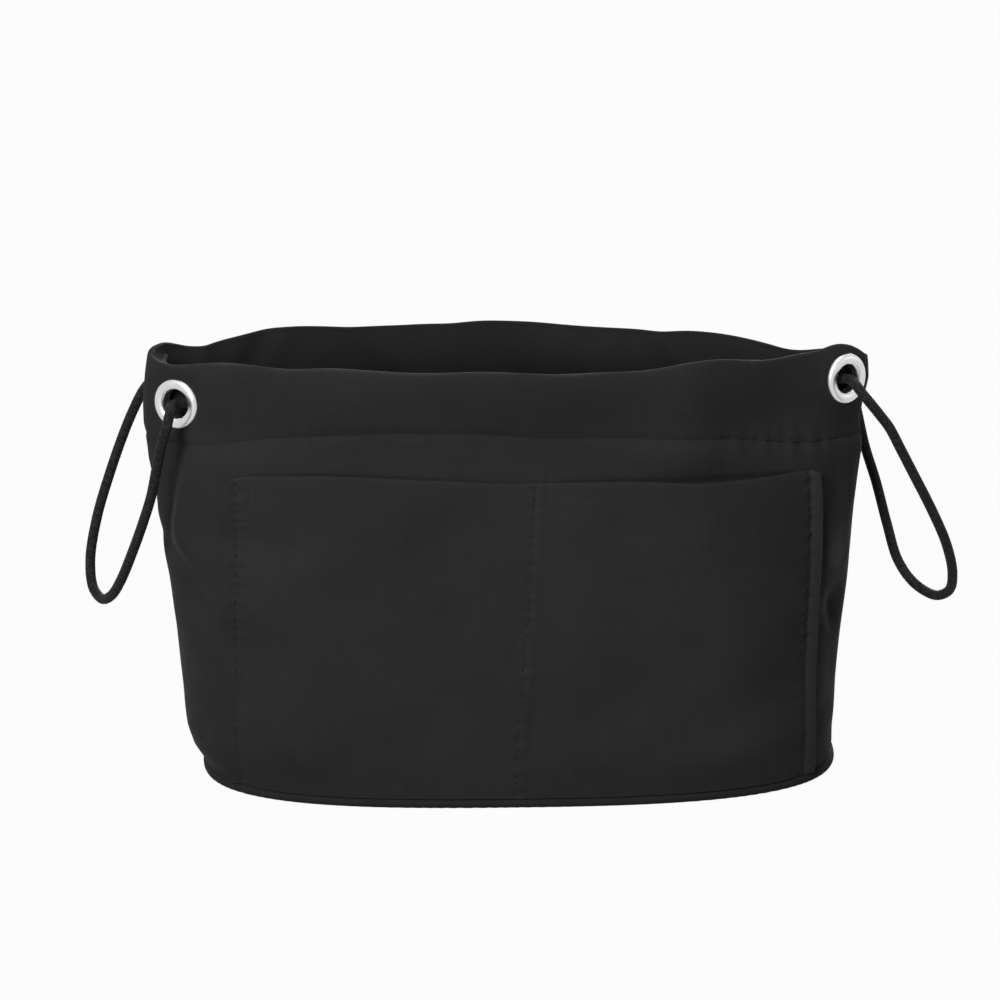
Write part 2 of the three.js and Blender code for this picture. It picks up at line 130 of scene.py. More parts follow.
# Swells and hollows of the wall, as bells: millimetres out, turn, reach in turns, lean in turns for each
# millimetre up, height, reach up and down
SWELLS = [
    (-1.8, FRONT, 0.6, 0, 107, 15),  # waist in front
    (-1.2, BACK, 0.6, 0, 106, 18),  # waist at the back
    (2.4, FRONT, 0.6, 0, 46, 34),  # belly in front
    (1.6, BACK, 0.6, 0, 46, 34),  # belly at the back
    (1.2, 1.676, 0.07, -0.002, 72, 24),  # ridge at the left back
    (-1.8, 1.83, 0.09, 0, 78, 22),  # hollow beside that ridge
    (-3.0, 3.734, 0.06, -0.002, 51, 7),  # dent at the right front
    (2.4, 3.73, 0.065, 0, 67, 8),  # swell over the dent
    (-1.8, 3.7, 0.06, 0, 86, 10),  # hollow over the swell
    (-1.0, 3.73, 0.08, 0, 33, 9),  # hollow under the dent
    (-1.6, 0.2, 0.09, 0, 70, 26),  # hollow at the right back
    (1.2, 0.33, 0.06, 0, 66, 22),  # ridge beside that hollow
]

# Swells that grow between two heights: millimetres out, turn and lean at the rim, reach, the two heights
RISING_SWELLS = [
    (1.6, FRONT, 0, 0.6, 92, 22),  # full foot in front
    (2.6, FRONT, 0, 0.6, 108, 130),  # flare of the rim in front
    (2.0, BACK, 0, 0.6, 108, 130),  # flare at the back
    (-1.0, 1.62, -0.0048, 0.03, 78, 118),  # this and the rest: soft folds of the back near the mouth
    (1.1, 1.46, -0.005, 0.036, 78, 118),
    (0.5, 1.38, -0.004, 0.04, 78, 118),
    (-1.2, 1.28, 0.008, 0.038, 78, 118),
    (-1.3, 1.09, 0.0032, 0.038, 78, 118),
    (0.7, 0.95, 0.0012, 0.05, 78, 118),
    (-2.2, 0.72, 0.0056, 0.036, 78, 118),
    (0.5, 0.62, 0.0024, 0.05, 78, 118),
    (-0.7, 0.42, 0.0012, 0.05, 78, 118),
]

# Long shallow waves of slack cloth: height, waves round the bag, angle for each millimetre up, first angle
SLACK_WAVES = [(0.42, 2, 0.045, 3.0), (0.294, 3, -0.071, 5.2), (0.21, 7, 0.11, 4.1), (0.147, 12, -0.16, 0.8)]

# The base stands a little turned and to the right under the mouth
FOOT_YAW = np.radians(-2.0)
FOOT_SHIFT = 1.2
FOOT_TWIST_TOP = 70.0
FOOT_SHIFT_TOP = 30.0

# Cloth
SHELL_CLOTH = 0.6
LINING_CLOTH = 0.4
CASING_PLY = 0.55
LINING_DEPTH = 1.35
CASING_EDGE = 1.9
CASING_SWELL_IN = 2.7
CASING_SWELL_OUT = 0.7
SEAM_DEPTH = 0.3
TUCK_HEIGHT = 3.0
GRID_STEP = 1.25
QUARTER_LENGTH = 118.0
WALL_LENGTH = 106.0

# Double lip on the rim at the left end
LIP_TURN = 2.11
LIP_REACH = 0.075
LIP_WIDENING = 2.2
LIP_FURROW = 1.3

# Eyelets: their heights on the solids' wall, their distance in from its ends, and the sizes of the metal
EYELET_LEVELS = {"back_right": 115.0, "back_left": 116.0, "front_left": 116.0, "front_right": 119.5}
EYELET_INSETS = {"back_right": 7.5, "back_left": 8.4, "front_left": 8.4, "front_right": 7.5}
EYELET_HOLE = 8.4
EYELET_FLANGE = 15.0
EYELET_METAL = 0.4
EYELET_DOME = 1.5
EYELET_TAIL = 2.35
EYELET_FLAT_REACH = 8.6
CLOTH_HOLE_MARGIN = 1.3
CLOTH_HOLE_DEPTH = 2.0

# Cord: its braid, its run in the casing, its bend to an eyelet as distances inboard and in from the seat,
# the stub outside the eyelet, and the loops with the directions in which their joints pull them
CORD_DIAMETER = 3.0
CORD_SIDES = 24
CORD_STEP = 0.4
BRAID_STRANDS = 8
BRAID_LAY = 5.2
BRAID_RISE = np.pi * BRAID_STRANDS / 2 / BRAID_LAY
RUN_LEVEL = 117.5
RUN_DEPTH = 2.2
RUN_SHARES = np.linspace(0.01, 0.88, 15)
EYELET_BEND = [(6.5, 3.3), (3.6, 2.6), (1.6, 1.6), (0.4, 0.2), (0, -1)]
STUB_END = (1.9, 5.4, 0)
STUB_BEFORE = (0, 1.4, 0)
STUB_PAST = (0, 1.0, 0)
LEFT_LOOP = [
    (-99.8, -18.2, 116), (-99.8, -19.5, 116), (-100.2, -21.8, 114.8), (-100.9, -23, 112),
    (-101.9, -23.1, 108.8), (-102.8, -22.8, 105.6), (-104.2, -21.9, 99), (-105.9, -20.6, 90.6),
    (-108.6, -18.6, 81.6), (-112, -15.6, 71.6), (-115.8, -11.4, 61.4), (-118.8, -7.2, 55.4),
    (-121.8, -2.6, 52.8), (-124.5, 2, 55), (-125.2, 6.2, 62.4), (-123, 11, 74), (-118.9, 15.6, 86.4),
    (-114.4, 19.2, 98), (-111.4, 21, 104.6), (-108.3, 22.5, 110.2), (-105.2, 23, 113.6),
    (-102.2, 21.9, 115.5), (-100, 19.6, 116), (-99.8, 18.2, 116),
]
RIGHT_LOOP = [
    (101.1, -17.2, 119.5), (101.2, -18.7, 119.5), (102.2, -21.4, 118.3), (104.4, -22.8, 115.7),
    (108, -23, 111.2), (110.8, -22.7, 107.4), (114.2, -22, 101), (118.9, -20.8, 92),
    (124.8, -18.4, 80.6), (130.4, -14.4, 68.2), (133.4, -9.6, 57.4), (133.4, -4.6, 50.2), (130, 0, 47.2),
    (124.4, 4.6, 49.6), (119.9, 9.2, 55.6), (116.9, 13.6, 66), (113.9, 17.6, 78), (110.5, 20.2, 89),
    (108, 21.6, 100), (106.8, 22, 105.2), (105, 22.4, 109.4), (103.1, 22.2, 112.6),
    (101.4, 20.7, 114.6), (100.7, 19, 115), (100.65, 17.8, 115),
]
LEFT_PULL = np.array([-0.2571, 0, -0.9664])
RIGHT_PULL = np.array([0.3697, 0, -0.9292])

# Front pocket
POCKET_LEFT = -83.3
POCKET_RIGHT = 89.2
POCKET_TOP_LINE = [
    (-83.3, 93.4), (-82.4, 95.5), (-80.6, 97.0), (-76, 97.9), (-70, 98.3), (-54, 98.9), (-40, 98.3),
    (-25, 97.5), (-10, 96.5), (4, 95.9), (22, 96.3), (37, 96.4), (52, 96.4), (67, 95.9), (82, 95.3),
    (88, 94.6), (89.2, 93.8),
]
POCKET_FOOT = 3.3
POCKET_CLOTH = 0.6
LEFT_GAPE = 1.2
RIGHT_GAPE = 2.0
POCKET_HEM = 3.1
CENTRE_SEAM_TOP = 5.4
CENTRE_SEAM_FOOT = -0.7

# Stitches
STITCH_PITCH = 2.7
STITCH_WIDTH = 0.4
STITCH_PROUD = 0.14
CENTRE_STITCH_PROUD = 0.07
CASING_STITCH_LENGTH = 1.8
POCKET_STITCH_LENGTH = 1.7
STITCH_RINGS = 6
STITCH_SIDES = 6

# Camera at the photograph's angle, in metres: the target shows at a pixel of the photograph
CAMERA_AZIMUTH = np.radians(-4.0)
CAMERA_ELEVATION = np.radians(18.5)
CAMERA_DISTANCE = 1.25
CAMERA_TARGET = np.array([0, 0, 0.062])
TARGET_PIXEL = (508, 558)
PHOTO_WIDTH = 1000
PIXEL_SIZE = 0.0003007
SENSOR_WIDTH = 36

# Soft lamps: place and side in metres, and power
LAMPS = {
    "key_lamp": ((-0.89, -1.62, 1.24), 0.75, 47),
    "fill_lamp": ((1.8, -0.2, 0.6), 0.8, 1.2),
    "back_lamp": ((0.5, 1.85, 0.75), 0.8, 26),
    "top_lamp": ((0.0, 0.2, 1.9), 1.0, 8),
}
LAMP_AIM = Vector((0, 0, 0.07))
SURROUNDING_LIGHT = 0.11
FLOOR_GLOW = 0.965
FLOOR_HALF = 6.0
FLOOR_LEVEL = -0.0002


def bump(value, centre, width):
    """Bell curve: one at the centre, fading with the square of the distance over the width."""
    return np.exp(-((value - centre) / width) ** 2)


def ramp(value, low, high):
    """Smooth step: nought at low, one at high, level beyond both. High may lie under low."""
    share = np.clip((value - low) / (high - low), 0, 1)
    return share * share * (3 - 2 * share)


def along_turn(turn, centre):
    """Signed distance round the bag from a place, in quarter turns, by the shorter way."""
    return (turn - centre + 2) % 4 - 2


def by_table(value, table, reach=0.0, samples=1, period=None):
    """Straight lines between a table's pairs, averaged over samples within reach of the value."""
    at, height = np.array(table).T
    shifts = np.linspace(-reach, reach, samples)
    return np.interp(np.asarray(value)[..., None] + shifts, at, height, period=period).mean(-1)


def unit(vectors):
    """Vectors at length one."""
    return vectors / np.linalg.norm(vectors, axis=-1, keepdims=True)


def rim_level(turn):
    """Height of the rim round the mouth."""
    return BAG_HEIGHT + by_table(turn, RIM_HEIGHTS, RIM_SOFTENING, samples=11, period=4)


def stitch_level(turn):
    """Height of the casing's stitch line round the mouth."""
    return by_table(turn, STITCH_HEIGHTS, STITCH_SOFTENING, samples=11, period=4)


def section_sizes(level):
    """Half width, half depth and squareness of the solids' section at a level."""
    rise = np.maximum(level, 0) / BAG_HEIGHT
    half_width = BASE_HALF_WIDTH + (MOUTH_HALF_WIDTH - BASE_HALF_WIDTH) * rise
    half_depth = BASE_HALF_DEPTH + (MOUTH_HALF_DEPTH - BASE_HALF_DEPTH) * rise ** LEAN_POWER
    return half_width, half_depth, BASE_SQUARENESS + (MOUTH_SQUARENESS - BASE_SQUARENESS) * rise


def plain_section(turn, level):
    """Level superellipse of the solids: half width and half depth times the cosine and sine of the
    turn, pushed out until the powers of both shares add up to one. Also its level normal."""
    half_width, half_depth, square = section_sizes(level)
    cos = np.cos(turn * np.pi / 2)
    sin = np.sin(turn * np.pi / 2)
    push = (abs(cos) ** square + abs(sin) ** square) ** (-1 / square)
    out_x = np.sign(cos) * abs(cos * push) ** (square - 1) / half_width
    out_y = np.sign(sin) * abs(sin * push) ** (square - 1) / half_depth
    size = np.hypot(out_x, out_y)
    return half_width * cos * push, half_depth * sin * push, out_x / size, out_y / size


def outward(turn, level):
    """Level normal of the plain section, as vectors."""
    _, _, out_x, out_y = plain_section(turn, level)
    return np.stack([out_x, out_y, 0 * out_x], -1)


def turn_at_x(x, level):
    """Turn on the front where the plain section has the given x."""
    half_width, _, square = section_sizes(level)
    share = np.clip(x / half_width, -1, 1)
    deep = (1 - abs(share) ** square) ** (1 / square)
    return 4 - np.arctan2(deep, share) * 2 / np.pi


def quarter_flip(quarter):
    """Signs that carry the back right quarter to a quarter."""
    return np.array([1 if "right" in quarter else -1, 1 if "back" in quarter else -1, 1])


def eyelet_turn(quarter):
    """Turn of an eyelet, as if it were in the back right quarter."""
    level = EYELET_LEVELS[quarter]
    return 4 - turn_at_x(section_sizes(level)[0] - EYELET_INSETS[quarter], level)


def eyelet_seat(quarter):
    """Centre of an eyelet on the plain wall, the wall's normal there and the level tangent towards the
    end of the bag."""
    flip = quarter_flip(quarter)
    place, height = eyelet_turn(quarter), EYELET_LEVELS[quarter]
    step = 1e-3

    def at(turn, level):
        x, y, _, _ = plain_section(turn, level)
        return np.array([x, y, level])

    centre = at(place, height)
    outboard = at(place - step, height) - centre
    upward = at(place, height + step) - centre
    return centre * flip, unit(np.cross(upward, outboard)) * flip, unit(outboard) * flip


EYELET_SEATS = {quarter: eyelet_seat(quarter) for quarter in QUARTERS}


def puckers(turn, level):
    """Small gathers along the casing's stitch line: ripples of uneven size that die out up and down, and
    are stronger on the right."""
    angle = turn * np.pi / 2
    ripple = np.sin(91 * angle + 2.6 * np.sin(15 * angle))
    ripple = ripple + 0.7 * np.sin(53 * angle + 1.9 * np.sin(8 * angle) + 1.3)
    patchy = 0.3 + 0.7 * (0.5 + 0.5 * np.sin(6 * angle + 1.2 * np.sin(2 * angle) + 0.8)) ** 2
    right = 0.45 + 0.55 * ramp(along_turn(turn, FRONT), 0.0, 0.4)
    away = abs(level - stitch_level(turn) + 0.6)
    return 0.56 * right * ripple * patchy * np.exp(-away / 2.6)


def slack(turn, level):
    """Long shallow waves of slack cloth, as sines round the bag and up it."""
    angle = (turn - FRONT) * np.pi / 2
    waves = [high * np.sin(count * angle + tilt * level + start) for high, count, tilt, start in SLACK_WAVES]
    return sum(waves) * ramp(level, 4, 30)


def beside_crest(turn, level):
    """Distance in millimetres from the crest of the fold at the left end, positive towards the front."""
    def crest(height):
        return by_table(height, LEFT_CREST, CREST_SOFTENING, samples=9)

    slope = (crest(level + 1) - crest(level - 1)) / 2 * WALL_PER_TURN
    return (along_turn(turn, LEFT_END) - crest(level)) * WALL_PER_TURN / np.sqrt(1 + slope ** 2)


def left_fold(turn, level):
    """The knee of slack cloth at the left end: a crest that runs down from the casing towards the end,
    then bends back to the pocket. Across it, a rounded bell falls slowly towards the front, and
    faster to a hollow on the end's side, which is deeper near the casing."""
    away = beside_crest(turn, level)
    bell = np.where(away > 0, bump(away, 0, 15.0), bump(away, 0, 9.5))
    hollow = np.where(away < 0, (1 - bump(away, 0, 7.0)) * bump(away, 0, 15.0), 0)
    deep = 4.2 + 3.0 * ramp(level, 76, 90)
    return (2.5 * bell - deep * hollow) * ramp(level, 46, 62) * ramp(level, 110, 100)


def swells(turn, level):
    """Swells, hollows and folds of the wall, from their two tables."""
    total = 0
    for out, place, reach, lean, height, tall in SWELLS:
        beside = along_turn(turn, place + lean * (level - height))
        total = total + out * bump(beside, 0, reach) * bump(level, height, tall)
    for out, place, lean, reach, low, high in RISING_SWELLS:
        beside = along_turn(turn, place + lean * (level - BAG_HEIGHT))
        total = total + out * bump(beside, 0, reach) * ramp(level, low, high)
    return total


def rim_over_eyelets(turn, level, y):
    """Rim over the eyelets: pinched at the right, more at the back, and with a shoulder at the left."""
    right = bump(abs(along_turn(turn, RIGHT_END)), 0.36, 0.17) * ramp(level, 112, 128)
    left = bump(abs(along_turn(turn, LEFT_END)), 0.27, 0.1) * ramp(level, 118, 128)
    return np.where(y < 0, -1.2, -3.4) * right + 1.8 * left


def front_shape(x, level):
    """What only the front has: a band that bends and flares at the right, and squarer corners under it."""
    bend = by_table(x, RIGHT_BEND, BEND_SOFTENING, samples=7) * ramp(level, 82, 106)
    flare = 2.2 * bump(x, 76, 22) * ramp(level, 108, 130)
    corners = np.where(x > 0, 3.0, 1.8) * bump(abs(x), 66, 24) * ramp(level, 112, 86) * ramp(level, 2, 18)
    return bend + flare + corners


def relief(turn, level):
    """How far the cloth stands out from the plain section: ends that swell, a full foot between them, the
    front's own shape, swells, folds, the rim over the eyelets, slack and puckers. It fades out at the
    eyelets, which sit on the solids' wall."""
    x, y, _, _ = plain_section(turn, level)
    end = (abs(x) / section_sizes(level)[0]) ** END_POWER
    end_swell = np.where(x > 0, by_table(level, RIGHT_END_SWELL), by_table(level, LEFT_END_SWELL))
    total = end_swell * end + 0.9 * (1 - end) * bump(level, 14, 13)
    total = total + np.where(y < 0, front_shape(x, level), 0) + swells(turn, level)
    total = total + left_fold(turn, level) + rim_over_eyelets(turn, level, y)
    total = total + slack(turn, level) + puckers(turn, level)
    for seat, _, _ in EYELET_SEATS.values():
        away = np.sqrt((x - seat[0]) ** 2 + (y - seat[1]) ** 2 + (level - seat[2]) ** 2)
        total = total * (1 - np.exp(-(away / EYELET_FLAT_REACH) ** 6))
    return total


def pocket_dent(turn, level):
    """How far the front wall gives way behind the open top of the pocket: a narrow gap all along it, and
    a broad bell behind the right compartment, both fading again inside the pocket."""
    x = plain_section(turn, level)[0]
    front = ramp(abs(along_turn(turn, FRONT)), 0.95, 0.8)
    above = level - by_table(x, POCKET_TOP_LINE)
    inside = ramp(x, POCKET_LEFT + 1, POCKET_LEFT + 8) * ramp(x, POCKET_RIGHT - 1, POCKET_RIGHT - 9)
    gap = 0.7 * inside * (1 - 0.7 * bump(x, CENTRE_SEAM_TOP, 5)) * ramp(above, 0.5, -2.0)
    broad = 2.0 * bump(x, 62, 26) * ramp(above, 7.5, -4.0)
    return (gap + broad) * front * ramp(level, 60, 82)


def wall(turn, level, depth=0.0):
    """The cloth's outer face, or a face at a depth inside it: the plain section moved along its level
    normal by the relief less the depth, and near the base turned and shifted with the base."""
    x, y, out_x, out_y = plain_section(turn, level)
    move = relief(turn, level) - depth
    x = x + out_x * move
    y = y + out_y * move
    yaw = FOOT_YAW * ramp(level, FOOT_TWIST_TOP, 0)
    shift = FOOT_SHIFT * ramp(level, FOOT_SHIFT_TOP, 0)
    turned_x = x * np.cos(yaw) - y * np.sin(yaw)
    turned_y = x * np.sin(yaw) + y * np.cos(yaw)
    return np.stack([turned_x + shift, turned_y, level + 0 * x], -1)


def quarter_turns(quarter):
    """Even turns over one quarter, a grid step apart."""
    return np.linspace(*QUARTERS[quarter], round(QUARTER_LENGTH / GRID_STEP) + 1)


def graded(low, high, dense_at, reach, fine, coarse):
    """Places from low to high whose spacing narrows from coarse to fine within reach of some places."""
    line = np.linspace(low, high, 2000)
    near = np.max([bump(line, place, reach) for place in dense_at], axis=0)
    density = 1 / (coarse + (fine - coarse) * near)
    share = np.cumsum(density)
    share = (share - share[0]) / (share[-1] - share[0])
    count = round(float(np.mean(density)) * (high - low)) + 1
    return np.interp(np.linspace(0, 1, count), share, line)


def arc_lengths(points):
    """Distance along rows of points, from the first."""
    steps = np.linalg.norm(np.diff(points, axis=-2), axis=-1)
    return np.concatenate([np.zeros_like(steps[..., :1]), np.cumsum(steps, -1)], -1)


def resample(places, way, vectors):
    """Vectors at new places along a way, by straight lines between the old ones."""
    return np.stack([np.interp(places, way, vectors[:, axis]) for axis in range(3)], 1)


def cloth_uv(grid):
    """Places on the flat cloth, in millimetres: distance along the middle row and up the middle column."""
    along = arc_lengths(grid[len(grid) // 2])
    up = arc_lengths(grid[:, grid.shape[1] // 2])
    return np.stack(np.meshgrid(along, up), -1).reshape(-1, 2)


def facing_out(points, quads, caps=()):
    """Quads and caps as lists, turned to face out of the volume that they enclose."""
    a, b, c, d = (points[quads[:, k]] for k in range(4))
    volume = np.einsum("ij,ij->", a, np.cross(b, c)) + np.einsum("ij,ij->", a, np.cross(c, d))
    faces = quads.tolist() + list(caps)
    return faces if volume > 0 else [face[::-1] for face in faces]


def ring_quads(here, ahead):
    """Quads between rings of points and the rings ahead. Both indices go round along their last axis."""
    return np.stack([here, np.roll(here, -1, -1), np.roll(ahead, -1, -1), ahead], -1).reshape(-1, 4)


def sheet_quads(keep):
    """Quads of a two-layer sheet on a grid: kept cells on both layers, and a rim along every edge where
    a kept cell has no kept neighbour. The second layer's points follow the first layer's."""
    rows, columns = keep.shape[0] + 1, keep.shape[1] + 1
    index = np.arange(rows * columns).reshape(rows, columns)
    under = rows * columns
    cell = np.stack([index[:-1, :-1], index[:-1, 1:], index[1:, 1:], index[1:, :-1]], -1)[keep]
    padded = np.pad(keep, 1)
    below, above = padded[:-1, 1:-1], padded[1:, 1:-1]
    before, after = padded[1:-1, :-1], padded[1:-1, 1:]
    flat_edge = np.stack([index[:, :-1], index[:, 1:]], -1)
    tall_edge = np.stack([index[:-1, :], index[1:, :]], -1)
    edges = np.concatenate([
        flat_edge[above & ~below][:, ::-1], flat_edge[below & ~above],
        tall_edge[after & ~before], tall_edge[before & ~after][:, ::-1],
    ])
    rim = np.concatenate([edges, edges[:, ::-1] + under], -1)
    return np.concatenate([cell, cell[:, ::-1] + under, rim])


def make_object(name, points, faces, uv, material, crease=50.0, painted_highlight=None):
    """A mesh object at the origin from arrays of points in millimetres, faces and places on the cloth.
    The last argument tells by point how much highlight is painted into the cloth's colour."""
    mesh = bpy.data.meshes.new(name)
    mesh.from_pydata((points * MM).tolist(), [], faces)
    mesh.polygons.foreach_set("use_smooth", np.ones(len(mesh.polygons), bool))
    corner = np.zeros(len(mesh.loops), np.int32)
    mesh.loops.foreach_get("vertex_index", corner)
    mesh.uv_layers.new(name="cloth").data.foreach_set("uv", uv[corner].astype(np.float32).ravel())
    if painted_highlight is not None:
        mesh.attributes.new("painted_highlight", "FLOAT", "POINT").data.foreach_set("value", painted_highlight.astype(np.float32))
    mesh.set_sharp_from_angle(angle=np.radians(crease))
    mesh.materials.append(material)
    mesh.update()
    piece = bpy.data.objects.new(name, mesh)
    bpy.context.scene.collection.objects.link(piece)
    return piece


def make_sheet(name, outer, inner, material, keep=None, painted_highlight=0.0):
    """A sheet with thickness between two like grids of points. `keep` tells by cell where there is cloth."""
    rows, columns = outer.shape[:2]
    keep = np.ones((rows - 1, columns - 1), bool) if keep is None else keep
    points = np.concatenate([outer.reshape(-1, 3), inner.reshape(-1, 3)])
    quads = sheet_quads(keep)
    used, place = np.unique(quads, return_inverse=True)
    faces = facing_out(points[used], place.reshape(quads.shape))
    uv = np.tile(cloth_uv(outer), (2, 1))
    # painted highlight by point, the same on both layers
    highlight_share = np.tile(np.broadcast_to(painted_highlight, (rows, columns)).ravel(), 2)
    return make_object(name, points[used], faces, uv[used], material, painted_highlight=highlight_share[used])


def smooth_path(route, step):
    """Even points on a smooth curve through given ones: Catmull-Rom pieces with square-root
    spacing, sampled closely and then evened out by distance."""
    p = np.array(route, float)
    p = np.concatenate([2 * p[:1] - p[1:2], p, 2 * p[-1:] - p[-2:-1]])
    gaps = np.sqrt(np.linalg.norm(np.diff(p, axis=0), axis=1))
    knot = np.concatenate([[0], np.cumsum(gaps)])
    t = np.linspace(knot[1], knot[-2], 60 * len(route))
    k = np.clip(np.searchsorted(knot, t, side="right") - 1, 1, len(p) - 3)

    def mix(a, b, first, last):
        return (a * (last - t)[:, None] + b * (t - first)[:, None]) / (last - first)[:, None]

    k0, k1, k2, k3 = knot[k - 1], knot[k], knot[k + 1], knot[k + 2]
    a1 = mix(p[k - 1], p[k], k0, k1)
    a2 = mix(p[k], p[k + 1], k1, k2)
    a3 = mix(p[k + 1], p[k + 2], k2, k3)
    fine = mix(mix(a1, a2, k0, k2), mix(a2, a3, k1, k3), k1, k2)
    way = arc_lengths(fine)
    even = np.linspace(0, way[-1], round(way[-1] / step) + 1)
    return resample(even, way, fine)


def make_tube(name, path, radius, material, up, closed=False):
    """A tube round a path, with flat ends or closed on itself. `radius` is an array by ring and side, and
    `up` a direction that the path never takes."""
    count, sides = radius.shape
    ahead = np.roll(path, -1, 0) - np.roll(path, 1, 0) if closed else np.gradient(path, axis=0)
    tangent = unit(ahead)
    second = unit(np.cross(up, tangent))
    first = np.cross(tangent, second)
    turn = np.linspace(0, 2 * np.pi, sides, endpoint=False)
    ring = np.cos(turn)[:, None] * first[:, None] + np.sin(turn)[:, None] * second[:, None]
    points = (path[:, None] + radius[..., None] * ring).reshape(-1, 3)
    index = np.arange(count * sides).reshape(count, sides)
    if closed:
        faces = facing_out(points, ring_quads(index, np.roll(index, -1, 0)))
    else:
        caps = [index[0, ::-1].tolist(), index[-1].tolist()]
        faces = facing_out(points, ring_quads(index[:-1], index[1:]), caps)
    around, along = np.broadcast_arrays(turn[None] / (2 * np.pi), arc_lengths(path)[:, None])
    uv = np.stack([around, along], -1).reshape(-1, 2)
    return make_object(name, points, faces, uv, material)


def set_inputs(tree, node, inputs):
    """Gives a shader node its inputs, as values or as sockets to link."""
    for key, value in inputs.items():
        if isinstance(value, bpy.types.NodeSocket):
            tree.links.new(value, node.inputs[key])
        else:
            node.inputs[key].default_value = value


def add_node(tree, kind, inputs=None, **settings):
    """One shader node, with its settings and inputs."""
    node = tree.nodes.new(kind)
    for key, value in settings.items():
        setattr(node, key, value)
    set_inputs(tree, node, inputs or {})
    return node


def calc(tree, operation, *values):
    """One step of arithmetic between sockets or numbers."""
    return add_node(tree, "ShaderNodeMath", dict(enumerate(values)), operation=operation).outputs[0]


def weighted_sum(tree, *terms):
    """The sum of sockets, each times its weight."""
    total = 0.0
    for value, weight in terms:
        total = calc(tree, "MULTIPLY_ADD", value, weight, total)
    return total


def noise(tree, place, scale, detail, roughness=0.5):
    """Noise from nought to one."""
    inputs = {"Vector": place, "Scale": scale, "Detail": detail, "Roughness": roughness}
    return add_node(tree, "ShaderNodeTexNoise", inputs).outputs[0]


def drawn_noise(tree, place, scale, detail):
    """Noise with a scale of its own along each axis."""
    drawn = add_node(tree, "ShaderNodeMapping", {"Vector": place, "Scale": scale}).outputs[0]
    return noise(tree, drawn, 1.0, detail)


def spread(tree, value, source, target):
    """A value moved from one range to another, and held inside it."""
    inputs = {"Value": value, "From Min": source[0], "From Max": source[1]}
    inputs |= {"To Min": target[0], "To Max": target[1]}
    return add_node(tree, "ShaderNodeMapRange", inputs).outputs[0]


def mix_colours(tree, share, first, second):
    """A colour between two, which are sockets or have red, green, blue and alpha."""
    return add_node(tree, "ShaderNodeMix", {0: share, 6: first, 7: second}, data_type="RGBA").outputs[2]


def bumps(tree, height, strength, distance):
    """A normal bent by a height."""
    inputs = {"Height": height, "Strength": strength, "Distance": distance}
    return add_node(tree, "ShaderNodeBump", inputs).outputs[0]


def new_material(name):
    """A principled material, its node tree and its shader."""
    material = bpy.data.materials.new(name)
    material.use_nodes = True
    return material, material.node_tree, material.node_tree.nodes["Principled BSDF"]


def cloth_place(tree):
    """Place on the flat cloth, in millimetres, as one vector and as its two coordinates."""
    place = add_node(tree, "ShaderNodeUVMap", uv_map="cloth").outputs[0]
    split = add_node(tree, "ShaderNodeSeparateXYZ", {0: place}).outputs
    return place, split[0], split[1]


def nylon(name, dark, light, pitch=0.55, crinkle=0.5):
    """Black nylon: plain weave, uneven threads and a fine crinkle as bump, cloudy colour, a painted highlight
    that lightens it where a point attribute asks for it, and gloss that varies with the crinkle."""
    material, tree, shader = new_material(name)
    place, across, up = cloth_place(tree)
    threads = [calc(tree, "SINE", calc(tree, "MULTIPLY", line, 2 * np.pi / pitch)) for line in (across, up)]
    weave = calc(tree, "MULTIPLY", *threads)
    creases = noise(tree, place, 0.11, 5.0, 0.6)
    clouds = noise(tree, place, 0.02, 4.0)
    lying = drawn_noise(tree, place, (0.07, 1.7, 1.0), 2.0)
    upright = drawn_noise(tree, place, (1.7, 0.07, 1.0), 2.0)
    slubs = weighted_sum(tree, (lying, 0.5), (upright, 0.5))
    height = weighted_sum(tree, (weave, 0.05), (creases, crinkle), (slubs, 0.2))
    tone = weighted_sum(tree, (clouds, 0.4), (slubs, 0.6))
    plain = mix_colours(tree, tone, (*dark, 1), (*light, 1))
    # Painted highlight: a point attribute, times the crinkle, mixes a lighter colour into the cloth
    painted_highlight = add_node(tree, "ShaderNodeAttribute", attribute_name="painted_highlight").outputs["Fac"]
    highlight_share = calc(tree, "MULTIPLY", painted_highlight, calc(tree, "MULTIPLY", creases, 1.4))
    set_inputs(tree, shader, {
        # the lighter colour here is the painted highlight
        "Base Color": mix_colours(tree, highlight_share, plain, (0.055, 0.055, 0.053, 1)),
        "Roughness": spread(tree, creases, (0.3, 0.7), (0.68, 0.84)),
        "Normal": bumps(tree, height, 0.6, 0.0008),
        "Specular IOR Level": 0.05,
        "Sheen Weight": 0.006,
        "Sheen Roughness": 0.45,
    })
    return material


def braid(name):
    """Braided cord: two families of strands that wind opposite ways, the higher of them on top. Its colour is
    lighter on the strands' crowns and darker between them, a painted highlight and shade, in uneven patches."""
    material, tree, shader = new_material(name)
    place, around, along = cloth_place(tree)
    turns = calc(tree, "MULTIPLY", around, BRAID_STRANDS * np.pi)
    rise = calc(tree, "MULTIPLY", along, BRAID_RISE)
    one = calc(tree, "ABSOLUTE", calc(tree, "SINE", calc(tree, "ADD", turns, rise)))
    other = calc(tree, "ABSOLUTE", calc(tree, "SINE", calc(tree, "SUBTRACT", turns, rise)))
    strand = calc(tree, "MAXIMUM", one, other)
    height = weighted_sum(tree, (strand, 1.0), (noise(tree, place, 9.0, 3.0), 0.25))
    uneven = drawn_noise(tree, place, (7.0, 0.8, 1.0), 3.0)
    patchy = spread(tree, uneven, (0.36, 0.64), (0.15, 1.0))
    # painted highlight on the strand crowns and painted shade in the grooves between them
    crown = calc(tree, "MULTIPLY", calc(tree, "POWER", strand, 2.5), patchy)
    set_inputs(tree, shader, {
        "Base Color": mix_colours(tree, crown, (0.0012, 0.0012, 0.0012, 1), (0.026, 0.026, 0.0255, 1)),
        "Normal": bumps(tree, height, 0.8, 0.0003),
        "Roughness": 0.7,
        "Specular IOR Level": 0.12,
        "Sheen Weight": 0.02,
    })
    return material


